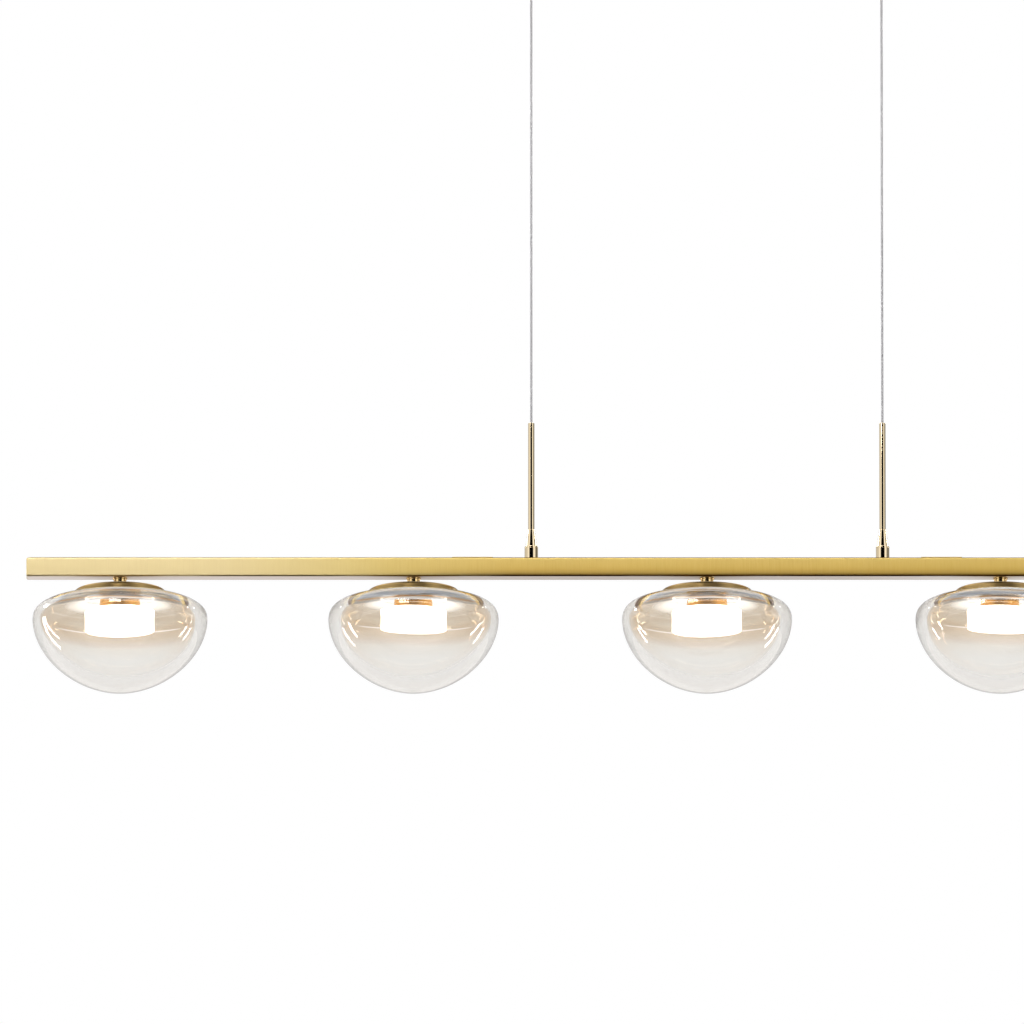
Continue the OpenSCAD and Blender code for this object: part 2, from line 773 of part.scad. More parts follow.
module lamp_cap(x) {
    color(brass)
        translate([x, 0, 0])
            difference() {
                rotate_extrude($fn = round_fn) polygon(cap_outline(0));
                rotate_extrude($fn = round_fn) polygon(cap_outline(cap_wall));
                rod(boss_z - cap_wall - 1, boss_z + 1, shank_d + 2 * seat_gap);
                for (a = fitter_angles)
                    rotate([0, 0, a]) translate([cap_r - 5, 0, fitter_z])
                        rotate([0, 90, 0]) cylinder(h = 10, d = fitter_d + 2 * seat_gap, $fn = round_fn);
            }
}

module fitter_screws() {
    tip_r = groove_r + fitter_reach;
    head_r = cap_r + fitter_out;
    color(brass)
        for (x = lamp_x, a = fitter_angles)
            translate([x, 0, fitter_z]) rotate([0, 0, a]) rotate([0, 90, 0]) {
                translate([0, 0, tip_r]) cylinder(h = head_r - tip_r + eps, d = fitter_d, $fn = small_fn);
                translate([0, 0, head_r]) cylinder(h = fitter_head_l, d = fitter_head_d, $fn = small_fn);
            }
}

module holder(x) {
    neck_top_z = boss_z - cap_wall;
    color(brass)
        translate([x, 0, 0])
            difference() {
                union() {
                    rod(drum_top_z, plateau_z - cap_wall, holder_d);
                    rod(plateau_z - cap_wall - eps, neck_top_z, 2 * (cap_boss_r - cap_wall - 1));
                }
                rod(plateau_z - post_seat - seat_end, neck_top_z + past, shank_d + 2 * seat_gap);
                rod(drum_top_z - 1, neck_top_z + 1, lead_bore_d);
                translate([0, 0, drum_top_z + groove_low])
                    rotate_extrude($fn = round_fn)
                        translate([holder_d / 2 - groove_depth, 0]) square([past, groove_w]);
            }
}

module led_plates() {
    color(steel)
        for (x = lamp_x)
            translate([x, 0, 0])
                difference() {
                    rod(drum_top_z - plate_t, drum_top_z, 2 * plate_r);
                    rod(drum_top_z - plate_t - 1, drum_top_z + 1, lead_bore_d);
                    translate([0, 0, drum_top_z - plate_t / 2 - bead_h / 2 - 0.1])
                        rotate_extrude($fn = round_fn)
                            translate([plate_r - bead_in, 0]) square([2, bead_h + 0.2]);
                }
}

module led_boards() {
    color(opal)
        for (x = lamp_x)
            translate([x, 0, drum_top_z - plate_t - board_t]) {
                cylinder(h = board_t, d = board_d, $fn = round_fn);
                for (i = [0:emitter_count - 1])
                    rotate([0, 0, 360 * i / emitter_count])
                        translate([emitter_ring_r, 0, (eps - emitter_h) / 2])
                            cube([emitter_side, emitter_side, emitter_h + eps], center = true);
            }
}

module diffuser(x) {
    r = drum_d / 2;
    inner = r - drum_wall;
    mid = drum_top_z - plate_t / 2;
    color(opal)
        translate([x, 0, 0])
            rotate_extrude($fn = round_fn)
                polygon(concat(
                    [[0, drum_low_z], [r - drum_edge, drum_low_z],
                    [r - drum_edge * 0.3, drum_low_z + drum_edge * 0.3],
                    [r, drum_low_z + drum_edge], [r, drum_top_z], [inner, drum_top_z]],
                    [[inner, mid + bead_h / 2], [inner - bead_in, mid], [inner, mid - bead_h / 2]],
                    [[inner, drum_low_z + drum_wall], [0, drum_low_z + drum_wall]]));
}

module glass(x) {
    shoulder_r = groove_r + shoulder_step;
    cavity_r = glass_r - glass_side_wall;
    cavity_top = shoulder_h - glass_top_wall;
    color(tinted)
        translate([x, 0, 0])
            rotate_extrude($fn = round_fn)
                polygon(concat(
                    reversed(quarter(0, glass_r, wide_z, -bowl_h, bowl_power)),
                    quarter(shoulder_r, glass_r - shoulder_r, wide_z, shoulder_h, shoulder_power),
                    [[groove_r, shoulder_z], [groove_r, lip_low_z], [lip_r, lip_low_z], [lip_r, lip_top_z],
                    [neck_r, lip_top_z]],
                    reversed(quarter(neck_r, cavity_r - neck_r, wide_z, cavity_top, shoulder_power)),
                    quarter(0, cavity_r, wide_z, glass_base_wall - bowl_h, bowl_power)));
}

mounting_bar();
canopy();
canopy_studs();
canopy_nuts();
driver();
canopy_screws();
terminal_block();
gripper(-1);  // gripper_left
gripper(1);  // gripper_right
nozzle(-1);  // nozzle_left
nozzle(1);  // nozzle_right
gripper_nuts();
canopy_leads();
cable(-1);  // cable_left
cable(1);  // cable_right
stem(-1);  // stem_left
stem(1);  // stem_right
collar(-1);  // collar_left
collar(1);  // collar_right
ferrule(-1);  // ferrule_left
ferrule(1);  // ferrule_right
stem_nuts();
cable_stops();
bar_tube();
end_cap(-1);  // end_cap_left
end_cap(1);  // end_cap_right
access_plate(-1);  // access_plate_left
access_plate(1);  // access_plate_right
access_screws();
bar_harness();
post_nuts();
fitter_screws();
led_plates();
led_boards();
post(lamp_x[0]);  // post_1
post(lamp_x[1]);  // post_2
post(lamp_x[2]);  // post_3
post(lamp_x[3]);  // post_4
post(lamp_x[4]);  // post_5
lamp_cap(lamp_x[0]);  // lamp_cap_1
lamp_cap(lamp_x[1]);  // lamp_cap_2
lamp_cap(lamp_x[2]);  // lamp_cap_3
lamp_cap(lamp_x[3]);  // lamp_cap_4
lamp_cap(lamp_x[4]);  // lamp_cap_5
holder(lamp_x[0]);  // holder_1
holder(lamp_x[1]);  // holder_2
holder(lamp_x[2]);  // holder_3
holder(lamp_x[3]);  // holder_4
holder(lamp_x[4]);  // holder_5
diffuser(lamp_x[0]);  // diffuser_1
diffuser(lamp_x[1]);  // diffuser_2
diffuser(lamp_x[2]);  // diffuser_3
diffuser(lamp_x[3]);  // diffuser_4
diffuser(lamp_x[4]);  // diffuser_5
glass(lamp_x[0]);  // glass_1
glass(lamp_x[1]);  // glass_2
glass(lamp_x[2]);  // glass_3
glass(lamp_x[3]);  // glass_4
glass(lamp_x[4]);  // glass_5
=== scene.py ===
# Linear chandelier: five thick blown glass lamps under a brass bar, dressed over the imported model.
import math
import bmesh
import bpy
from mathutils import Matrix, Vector


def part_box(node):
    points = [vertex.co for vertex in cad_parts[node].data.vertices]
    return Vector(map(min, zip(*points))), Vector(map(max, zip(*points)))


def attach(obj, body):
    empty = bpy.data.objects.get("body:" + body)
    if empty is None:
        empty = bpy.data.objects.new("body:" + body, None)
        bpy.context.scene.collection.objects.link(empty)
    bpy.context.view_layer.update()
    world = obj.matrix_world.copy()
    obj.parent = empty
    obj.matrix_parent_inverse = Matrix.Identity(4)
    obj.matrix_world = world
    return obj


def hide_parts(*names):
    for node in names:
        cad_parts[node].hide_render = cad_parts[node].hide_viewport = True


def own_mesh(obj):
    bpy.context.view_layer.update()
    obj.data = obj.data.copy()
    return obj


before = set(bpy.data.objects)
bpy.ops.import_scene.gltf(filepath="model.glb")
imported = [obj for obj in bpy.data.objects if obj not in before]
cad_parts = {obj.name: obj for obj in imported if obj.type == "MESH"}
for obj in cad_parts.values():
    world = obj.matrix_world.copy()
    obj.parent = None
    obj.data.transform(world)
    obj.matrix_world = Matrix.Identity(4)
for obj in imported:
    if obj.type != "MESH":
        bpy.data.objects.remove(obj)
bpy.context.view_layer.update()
scene = bpy.context.scene
scene.view_settings.view_transform = "Standard"
mm = 0.001


# small tools

def linear(code):
    # sRGB hex to linear colour
    parts = [int(code[i:i + 2], 16) / 255 for i in (1, 3, 5)]
    return tuple(p / 12.92 if p <= 0.04045 else ((p + 0.055) / 1.055) ** 2.4 for p in parts) + (1.0,)


def feed(tree, node, inputs):
    # by input: a socket or a node's first output is linked, anything else is the input's value
    for key, given in inputs.items():
        if isinstance(given, bpy.types.Node):
            given = given.outputs[0]
        if isinstance(given, bpy.types.NodeSocket):
            tree.links.new(given, node.inputs[key])
        else:
            node.inputs[key].default_value = given


def addNode(tree, kind, inputs=None, ramp=(), **settings):
    # the stops of a ramp are (place, hex or grey level)
    node = tree.nodes.new(kind)
    for name, value in settings.items():
        setattr(node, name, value)
    feed(tree, node, inputs or {})
    for i, (place, tone) in enumerate(ramp):
        stops = node.color_ramp.elements
        while i == 0 and len(stops) > 1:
            stops.remove(stops[-1])
        stop = stops.new(place) if i else stops[0]
        stop.position = place
        stop.color = linear(tone) if isinstance(tone, str) else (tone, tone, tone, 1.0)
    return node


def newMaterial(name):
    material = bpy.data.materials.new(name)
    material.use_nodes = True
    tree = material.node_tree
    tree.nodes.clear()
    surface = addNode(tree, "ShaderNodeBsdfPrincipled")
    addNode(tree, "ShaderNodeOutputMaterial", {"Surface": surface})
    return material, tree, surface


def finishPiece(piece, body, nodes):
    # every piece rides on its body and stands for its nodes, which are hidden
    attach(piece, body)
    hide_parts(*nodes)


def meshObject(name, mesh, materials):
    piece = bpy.data.objects.new(name, mesh)
    scene.collection.objects.link(piece)
    if mesh.materials:
        mesh.materials.clear()   # this sets every face back to the first slot
    for material in materials:
        mesh.materials.append(material)
    return piece


def settle(bm, mesh, limit=0.62):
    # faces turned outwards, smooth up to the marked sharp edges, written into the mesh
    bmesh.ops.recalc_face_normals(bm, faces=bm.faces)
    for face in bm.faces:
        face.smooth = True
    for edge in bm.edges:
        edge.smooth = len(edge.link_faces) == 2 and edge.calc_face_angle(0.0) < limit
    bm.to_mesh(mesh)
    bm.free()
    return mesh


def rounded(points, size):
    # profile with each corner turned into a small arc, with a support point on both sides
    out = []
    last = len(points) - 1
    for i, p in enumerate(points):
        p = Vector(p)
        if i in (0, last):
            out.append(p)
            continue
        before, after = Vector(points[i - 1]) - p, Vector(points[i + 1]) - p
        if before.length < 1e-9 or after.length < 1e-9 or before.angle(after) > 2.95:
            out.append(p)
            continue
        reach = min(size, before.length * 0.35, after.length * 0.35)
        before, after = before.normalized() * reach, after.normalized() * reach
        a, b = p + before, p + after
        arc = [(1 - t) ** 2 * a + 2 * t * (1 - t) * p + t * t * b for t in (0, 0.25, 0.5, 0.75, 1)]
        out += [p + before * 1.35] + arc + [p + after * 1.35]
    return [(v[0], v[1]) for v in out]


def joinRings(bm, uv, profile, rings, loop=False, slotOf=None):
    # faces between the rings of a profile's points; u runs round, v along the profile in metres
    steps = max(len(ring) for ring in rings)
    way = 0.0
    for i in range(len(rings) if loop else len(rings) - 1):
        j = (i + 1) % len(rings)
        a, b = rings[i], rings[j]
        v0 = way
        v1 = way = v0 + math.dist(profile[i], profile[j]) * mm
        for k in range(steps):
            n = (k + 1) % steps
            u0, u1 = k / steps, (k + 1) / steps
            if len(a) == 1 and len(b) == 1:
                break
            if len(a) == 1:
                corners = [(a[0], (u0 + u1) / 2, v0), (b[n], u1, v1), (b[k], u0, v1)]
            elif len(b) == 1:
                corners = [(a[k], u0, v0), (a[n], u1, v0), (b[0], (u0 + u1) / 2, v1)]
            else:
                corners = [(a[k], u0, v0), (a[n], u1, v0), (b[n], u1, v1), (b[k], u0, v1)]
            face = bm.faces.new([c[0] for c in corners])
            if slotOf:
                face.material_index = slotOf(i)
            for corner, (_, u, v) in zip(face.loops, corners):
                corner[uv].uv = (u, v)


def latheMesh(name, profile, centre, steps, loop=False, warp=None, slotOf=None):
    # profile in mm as (radius, height), turned round an upright axis
    bm = bmesh.new()
    uv = bm.loops.layers.uv.new("turned")
    rings = []
    for i, (r, z) in enumerate(profile):
        ring = []
        for k in range(steps if r > 1e-6 else 1):
            a = 2 * math.pi * k / steps
            x, y, height = r * math.cos(a), r * math.sin(a), z
            if warp:
                x, y, height = warp(i, x, y, z)
            ring.append(bm.verts.new((centre[0] + x * mm, centre[1] + y * mm, height * mm)))
        rings.append(ring)
    joinRings(bm, uv, profile, rings, loop, slotOf)
    return settle(bm, bpy.data.meshes.new(name))


def evenNormals(mesh, limit=0.8):
    # a corner takes the mean normal of the faces that meet it at a small angle, weighted by area
    around = [[] for _ in mesh.vertices]
    for face in mesh.polygons:
        for v in face.vertices:
            around[v].append((face.normal.copy(), face.area))
    normals = []
    for face in mesh.polygons:
        for v in face.vertices:
            near = [n * area for n, area in around[v] if n.dot(face.normal) > math.cos(limit)]
            normals.append(sum(near, Vector((0, 0, 0))).normalized())
    mesh.normals_split_custom_set(normals)


def softenedCopy(node, width, segments=3, wanted=None):
    # copy of a CAD node, merged and joined into flat faces, with its wanted edges rounded
    bm = bmesh.new()
    bm.from_mesh(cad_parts[node].data)
    bmesh.ops.remove_doubles(bm, verts=bm.verts, dist=1e-6)
    bmesh.ops.dissolve_limit(bm, angle_limit=0.02, verts=bm.verts, edges=bm.edges)
    sharp = [e for e in bm.edges if len(e.link_faces) == 2 and e.calc_face_angle(0.0) > 0.6
             and (not wanted or wanted(e.verts[0].co, e.verts[1].co))]
    bmesh.ops.bevel(bm, geom=sharp, offset=width, segments=segments, profile=0.5,
                    affect="EDGES", clamp_overlap=True, harden_normals=False)
    mesh = settle(bm, bpy.data.meshes.new(node))
    evenNormals(mesh)
    return mesh


def middle(node):
    low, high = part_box(node)
    return (low + high) / 2


# camera

shot = {
    "aim": (-0.2020, 0.0, -0.6321),   # what stands in the middle of the picture
    "lookUp": 12.5,                   # degrees from below
    "distance": 40.0,
    "metresPerPixel": 0.0010363,
    "pixels": 1024,
    "sensor": 36,                     # mm
}
up = math.radians(shot["lookUp"])
aim = Vector(shot["aim"])
camData = bpy.data.cameras.new("shotCamera")
camera = bpy.data.objects.new("shotCamera", camData)
scene.collection.objects.link(camera)
camera.location = aim - Vector((0, math.cos(up), math.sin(up))) * shot["distance"]
camera.rotation_euler = (aim - camera.location).to_track_quat("-Z", "Y").to_euler()
camData.sensor_width = shot["sensor"]
camData.lens = shot["sensor"] * shot["distance"] / (shot["pixels"] * shot["metresPerPixel"])
camData.clip_end = 200
scene.camera = camera
print("camera at", [round(c, 3) for c in camera.location], "lens", round(camData.lens, 1))

# cables

cableFacts = {
    "diameter": 2.4 * mm,
    "top": -57 * mm,          # where a cable enters its gripper's nozzle
    "pitch": 5 * mm,          # one turn of the strand under the clear jacket
    "sides": 20,
    "rows": 24,
    "travel": 0.3,            # how far the bar can rise
}
clearJacket, tree, surface = newMaterial("clearPvcOverSteelStrand")
# twisted steel strand under a clear extruded PVC jacket: grey with a fine diagonal sparkle
uvs = addNode(tree, "ShaderNodeUVMap")
twist = addNode(tree, "ShaderNodeMapping", {"Scale": (6, 1 / cableFacts["pitch"], 1), "Vector": uvs})
parts = addNode(tree, "ShaderNodeSeparateXYZ", {0: twist})
lay = addNode(tree, "ShaderNodeMath", {0: parts, 1: parts.outputs[1]}, operation="ADD")
turn = addNode(tree, "ShaderNodeMath", {0: lay, 1: 2 * math.pi}, operation="MULTIPLY")
strand = addNode(tree, "ShaderNodeMath", {0: turn}, operation="SINE")
tone = addNode(tree, "ShaderNodeValToRGB", {0: strand}, ramp=[(0.0, "#a4a3a6"), (1.0, "#bab7b9")])
bump = addNode(tree, "ShaderNodeBump", {"Strength": 0.35, "Distance": 0.0001, "Height": strand})
feed(tree, surface, {
    "Base Color": tone, "Normal": bump, "Roughness": 0.42, "Metallic": 0.25, "Coat Weight": 0.6})

cables = {}
for side in ("left", "right"):
    node = "cable_" + side
    spot = middle(node)
    bottom, top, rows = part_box(node)[0].z, cableFacts["top"], cableFacts["rows"]
    levels = [top + (bottom - top) * i / rows for i in range(rows + 1)]
    profile = [(cableFacts["diameter"] / 2 / mm, z / mm) for z in levels]
    profile = [(0, levels[0] / mm)] + profile + [(0, levels[-1] / mm)]
    mesh = latheMesh(node, profile, (spot.x, spot.y), cableFacts["sides"])
    cable = meshObject("cable_strand_" + side, mesh, [clearJacket])
    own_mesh(cable)
    finishPiece(cable, "suspension", [node])
    cables[side] = spot
print("cables done")

# finishes of the metals
barFacts = {
    "edge": 1.7 * mm, "edgeSteps": 5, "plateEdge": 0.25 * mm,
    "low": -0.7023, "top": -0.6823,                # underside and top
    "faceFrom": 8.3 * mm, "faceTo": 9.2 * mm,      # where the rounding turns into the front and back
    "leftLightFrom": -0.33, "leftLightTo": -0.5,             # along the bar, towards its left end
    # painted shade: how far along the bar the face's painted shade reaches
    "shadeAlongFrom": -0.38, "shadeAlongTo": -0.2,
    "half": 0.7,                                   # of its length
}
brushedBrass, tree, surface = newMaterial("crossBrushedBrass")
# satin brass brushed across the bar with a fine belt: short upright scratches that break the shine,
# drawn at 0.9 mm instead of the real 0.1 mm so that they show
place = addNode(tree, "ShaderNodeTexCoord").outputs["Object"]
belt = addNode(tree, "ShaderNodeMapping", {"Scale": (1100, 60, 34), "Vector": place})
scratch = addNode(tree, "ShaderNodeTexNoise", {
    "Scale": 1.0, "Detail": 3.0, "Roughness": 0.6, "Vector": belt})
drift = addNode(tree, "ShaderNodeTexNoise", {"Scale": 4.0, "Detail": 2.0, "Vector": place})
tone = addNode(tree, "ShaderNodeValToRGB", {0: scratch}, ramp=[
    (0.25, "#e4c676"), (0.5, "#edd485"), (0.75, "#f4df96")])
worn = addNode(tree, "ShaderNodeMix", {0: drift, 6: tone, 7: linear("#ead07e")}, data_type="RGBA")
rough = addNode(tree, "ShaderNodeMapRange", {0: scratch, 1: 0.2, 2: 0.8, 3: 0.45, 4: 0.55})
bump = addNode(tree, "ShaderNodeBump", {"Strength": 0.25, "Distance": 0.0001, "Height": scratch})
# painted shade: the face is painted darker towards its lower half, with dark lines along its bottom and
# top edges
spots = addNode(tree, "ShaderNodeSeparateXYZ", {0: place})
rise = addNode(tree, "ShaderNodeMapRange", {
    0: spots.outputs[2], 1: barFacts["low"], 2: barFacts["top"]})
faceShadeRamp = addNode(tree, "ShaderNodeValToRGB", {0: rise}, ramp=[
    (0.0, "#6e5c3a"), (0.06, "#5e4c2c"), (0.1, "#a08c5c"), (0.21, "#d9caa0"), (0.37, "#eee0ba"),
    (0.53, "#f6ebcc"), (0.86, "#fcf4de"), (0.91, "#fffaea"), (0.95, "#fffaea"), (0.975, "#8a6434"),
    (1.0, "#6b4a20")])
# only on the bar's front and back, not on the canopy, and hardly at the bar's left end
sideways = addNode(tree, "ShaderNodeMath", {0: spots.outputs[1]}, operation="ABSOLUTE")
faces = addNode(tree, "ShaderNodeMapRange", {
    0: sideways, 1: barFacts["faceFrom"], 2: barFacts["faceTo"]})
below = addNode(tree, "ShaderNodeMapRange", {0: spots.outputs[2], 1: -0.6, 2: -0.65})
shadeAlong = addNode(tree, "ShaderNodeMapRange", {
    0: spots, 1: barFacts["shadeAlongFrom"], 2: barFacts["shadeAlongTo"], 3: 0.1, 4: 1.0})
onFaces = addNode(tree, "ShaderNodeMath", {0: faces, 1: below}, operation="MULTIPLY")
foot = addNode(tree, "ShaderNodeMapRange", {0: rise, 1: 0.055, 2: 0.035})
most = addNode(tree, "ShaderNodeMath", {0: foot, 1: shadeAlong}, operation="MAXIMUM")
shown = addNode(tree, "ShaderNodeMath", {0: onFaces, 1: most}, operation="MULTIPLY")
paintedShadeMix = addNode(tree, "ShaderNodeMix", {
    0: shown, 6: worn.outputs[2], 7: faceShadeRamp}, data_type="RGBA", blend_type="MULTIPLY")
# painted light: the left end is painted paler, for the light falling on it from the left
reach = addNode(tree, "ShaderNodeMapRange", {
    0: spots, 1: barFacts["leftLightTo"], 2: barFacts["leftLightFrom"], 3: 0.52, 4: 0.0})
paintedLeftLight = addNode(tree, "ShaderNodeMix", {
    0: reach, 6: paintedShadeMix.outputs[2], 7: linear("#ffebbc")}, data_type="RGBA")
# painted reflection and shade on the underside: grey, least at the two ends
length = addNode(tree, "ShaderNodeMapRange", {0: spots, 1: -barFacts["half"], 2: barFacts["half"]})
paintedUnderside = addNode(tree, "ShaderNodeValToRGB", {0: length}, ramp=[
    (0.0, "#ecdfd5"), (0.2, "#ddcdc2"), (0.43, "#b09c8f"), (0.6, "#bcaca1"), (0.74, "#f4ece8"),
    (1.0, "#ecdfd5")])
lowest = addNode(tree, "ShaderNodeMapRange", {
    0: spots.outputs[2], 1: barFacts["low"] + 0.5 * mm, 2: barFacts["low"] + 0.1 * mm})
away = addNode(tree, "ShaderNodeMath", {0: 1.0, 1: faces}, operation="SUBTRACT")
under = addNode(tree, "ShaderNodeMath", {0: lowest, 1: away}, operation="MULTIPLY")
finished = addNode(tree, "ShaderNodeMix", {0: under, 6: paintedLeftLight.outputs[2], 7: paintedUnderside}, data_type="RGBA")
along = addNode(tree, "ShaderNodeCombineXYZ", {0: 1.0})
feed(tree, surface, {
    "Base Color": finished.outputs[2], "Roughness": rough, "Normal": bump, "Tangent": along,
    "Metallic": 1.0, "Anisotropic": 0.9, "Coat Weight": 1.0, "Coat Roughness": 0.25})


def frontMask(tree, uvs, start, end):
    # 1 on a turned piece's side towards the camera, fading to 0 from end to start, in turns off it
    way = addNode(tree, "ShaderNodeSeparateXYZ", {0: uvs})
    aside = addNode(tree, "ShaderNodeMath", {0: way, 1: 0.75}, operation="SUBTRACT")
    offFront = addNode(tree, "ShaderNodeMath", {0: aside}, operation="ABSOLUTE")
    return addNode(tree, "ShaderNodeMapRange", {0: offFront, 1: start, 2: end})


def turnedMetal(name, dark, light, spacing, roughness, depth, frontShade="#ffffff", shadeEnd=0.11):
    # metal turned or spun on a lathe: rings that follow the profile, from the piece's own UV map;
    # its front can be painted darker, a painted reflection of the room's dark side, as far as the last
    # argument gives in turns
    material, tree, surface = newMaterial(name)
    uvs = addNode(tree, "ShaderNodeUVMap")
    rings = addNode(tree, "ShaderNodeMapping", {"Scale": (1.5, 1 / (spacing * mm), 1), "Vector": uvs})
    line = addNode(tree, "ShaderNodeTexNoise", {"Scale": 1.0, "Detail": 2.0, "Vector": rings})
    tone = addNode(tree, "ShaderNodeValToRGB", {0: line}, ramp=[(0.3, dark), (0.7, light)])
    rough = addNode(tree, "ShaderNodeMapRange", {
        0: line, 1: 0.2, 2: 0.8, 3: roughness * 0.75, 4: roughness * 1.3})
    bump = addNode(tree, "ShaderNodeBump", {"Strength": depth, "Distance": 0.0001, "Height": line})
    front = frontMask(tree, uvs, shadeEnd, shadeEnd * 0.3)
    paintedShadeMix = addNode(tree, "ShaderNodeMix", {
        0: front, 6: tone, 7: linear(frontShade)}, data_type="RGBA", blend_type="MULTIPLY")
    feed(tree, surface, {
        "Base Color": paintedShadeMix.outputs[2], "Roughness": rough, "Normal": bump, "Metallic": 1.0})
    return material


# brass sheet spun over a former and lacquered: soft rings, a warm satin shine
# its front is painted darker: a painted reflection of the room's dark side
spunBrass = turnedMetal("spunLacqueredBrass", "#a58a58", "#b89d6a", 0.8, 0.34, 0.08, "#98948e", 0.12)
# brass rod turned, polished and plated a pale champagne gold: nearly a mirror
palePlate = turnedMetal("polishedPaleGoldPlate", "#e2cda6", "#ebdaba", 0.4, 0.04, 0.01)
# brass turned and lacquered a warm dark gold, for the drums' holders
# its front is painted darker: a painted reflection of the room's dark side
warmBrass = turnedMetal("warmLacqueredBrass", "#c98f3e", "#e0ab58", 0.6, 0.12, 0.03, "#aaa49c", 0.09)
# brass rod turned and polished, left its own yellow
turnedBrass = turnedMetal("polishedTurnedBrass", "#d9b97c", "#e8cc96", 0.4, 0.09, 0.04)


def hiddenFinish(name, dark, light, metallic, roughness, grain, depth=0.2):
    # finish of the working parts: an even material with the grain of its casting, rolling or moulding
    material, tree, surface = newMaterial(name)
    place = addNode(tree, "ShaderNodeTexCoord").outputs["Object"]
    speck = addNode(tree, "ShaderNodeTexNoise", {
        "Scale": 1 / (grain * mm), "Detail": 3.0, "Vector": place})
    tone = addNode(tree, "ShaderNodeValToRGB", {0: speck}, ramp=[(0.3, dark), (0.7, light)])
    rough = addNode(tree, "ShaderNodeMapRange", {
        0: speck, 1: 0.2, 2: 0.8, 3: roughness * 0.8, 4: roughness * 1.2})
    bump = addNode(tree, "ShaderNodeBump", {"Strength": depth, "Distance": 0.0001, "Height": speck})
    feed(tree, surface, {"Base Color": tone, "Roughness": rough, "Normal": bump, "Metallic": metallic})
    return material


# bright zinc plated steel, with the faint cloud of the plating
zincSteel = hiddenFinish("zincPlatedSteel", "#b3b6b8", "#cbccca", 1.0, 0.32, 4.0)
# die cast aluminium with the fine grain of the mould
castAluminium = hiddenFinish("dieCastAluminium", "#bdbfc0", "#d0d1d1", 1.0, 0.42, 0.8)
# injection moulded polycarbonate with a fine spark eroded grain
whiteCase = hiddenFinish("mouldedWhitePolycarbonate", "#e3e3de", "#edede9", 0.0, 0.45, 0.6)
# white solder mask over glass cloth
boardWhite = hiddenFinish("whiteSolderMask", "#e9eae6", "#f3f3f0", 0.0, 0.35, 0.5)
# extruded PVC insulation, slightly waxy
wireInsulation = hiddenFinish("extrudedWhitePvc", "#dfdfda", "#ebebe6", 0.0, 0.4, 2.0, 0.1)
# drawn copper strand under red-brown enamel
enamelledCopper = hiddenFinish("tinnedCopperWire", "#a8714a", "#bf8657", 1.0, 0.3, 1.0, 0.1)

# stoved white enamel inside the lamp caps
whiteEnamel = hiddenFinish("whiteStovedEnamel", "#f4f3ef", "#faf9f6", 0.0, 0.3, 3.0, 0.1)
# painted glow: a faint emission stands in for the light that the drum throws up and the enamel would
# send back
tree = whiteEnamel.node_tree
enamel = next(n for n in tree.nodes if n.type == "BSDF_PRINCIPLED")
feed(tree, enamel, {"Emission Color": linear("#e9f1ff"), "Emission Strength": 0.9})

# opal acrylic of the lit drums
drumLight = {"dimBelow": -0.746, "brightAbove": -0.739, "dim": 1.6, "bright": 6.5}
opalAcrylic, tree, surface = newMaterial("opalAcrylic")
# cast milky acrylic with an LED board behind it: evenly lit, strongest along its top edge
place = addNode(tree, "ShaderNodeTexCoord").outputs["Object"]
milk = addNode(tree, "ShaderNodeTexNoise", {"Scale": 60.0, "Detail": 2.0, "Vector": place})
tone = addNode(tree, "ShaderNodeValToRGB", {0: milk}, ramp=[(0.3, "#f6f4ee"), (0.7, "#fdfcf8")])
parts = addNode(tree, "ShaderNodeSeparateXYZ", {0: place})
power = addNode(tree, "ShaderNodeMapRange", {
    0: parts.outputs[2], 1: drumLight["dimBelow"], 2: drumLight["brightAbove"], 3: drumLight["dim"],
    4: drumLight["bright"]})
# the moulded foot is thicker at its far rim and glows amber there
uvs = addNode(tree, "ShaderNodeUVMap")
way = addNode(tree, "ShaderNodeSeparateXYZ", {0: uvs})
foot = addNode(tree, "ShaderNodeMapRange", {0: way.outputs[1], 1: 0.0, 2: 0.05})
glow = addNode(tree, "ShaderNodeValToRGB", {0: foot}, ramp=[
    (0.0, "#ffffff"), (0.67, "#ffffff"), (0.69, "#e8b277"), (0.74, "#e8b277"), (0.755, "#ffffff")])
far = addNode(tree, "ShaderNodeMapRange", {0: parts.outputs[1], 1: -0.002, 2: 0.004})
glowing = addNode(tree, "ShaderNodeMix", {
    0: far, 6: tone, 7: glow}, data_type="RGBA", blend_type="MULTIPLY")
feed(tree, surface, {
    "Base Color": tone, "Emission Color": glowing.outputs[2], "Emission Strength": power,
    "Roughness": 0.35})
print("metals and plastics done")

# bar, its end caps and access plates
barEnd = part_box("end_cap_right")[1].x
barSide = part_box("bar_tube")[1].y


def outerLong(a, b):
    # the four long outer corners, not the cut ends, bores and windows
    return min(abs(a.y), abs(b.y)) > barSide - 1e-5 and abs(a.x - b.x) > 1 * mm


def outerEnd(a, b):
    return outerLong(a, b) or min(abs(a.x), abs(b.x)) > barEnd - 1e-5


for node in ("bar_tube", "end_cap_left", "end_cap_right"):
    wanted = outerLong if node == "bar_tube" else outerEnd
    mesh = softenedCopy(node, barFacts["edge"], barFacts["edgeSteps"], wanted)
    piece = meshObject("brushed_" + node, mesh, [brushedBrass])
    finishPiece(piece, "fixture", [node])
for side in ("left", "right"):
    node = "access_plate_" + side
    piece = meshObject("rolled_" + node, softenedCopy(node, barFacts["plateEdge"]), [brushedBrass])
    finishPiece(piece, "fixture", [node])
print("bar done")


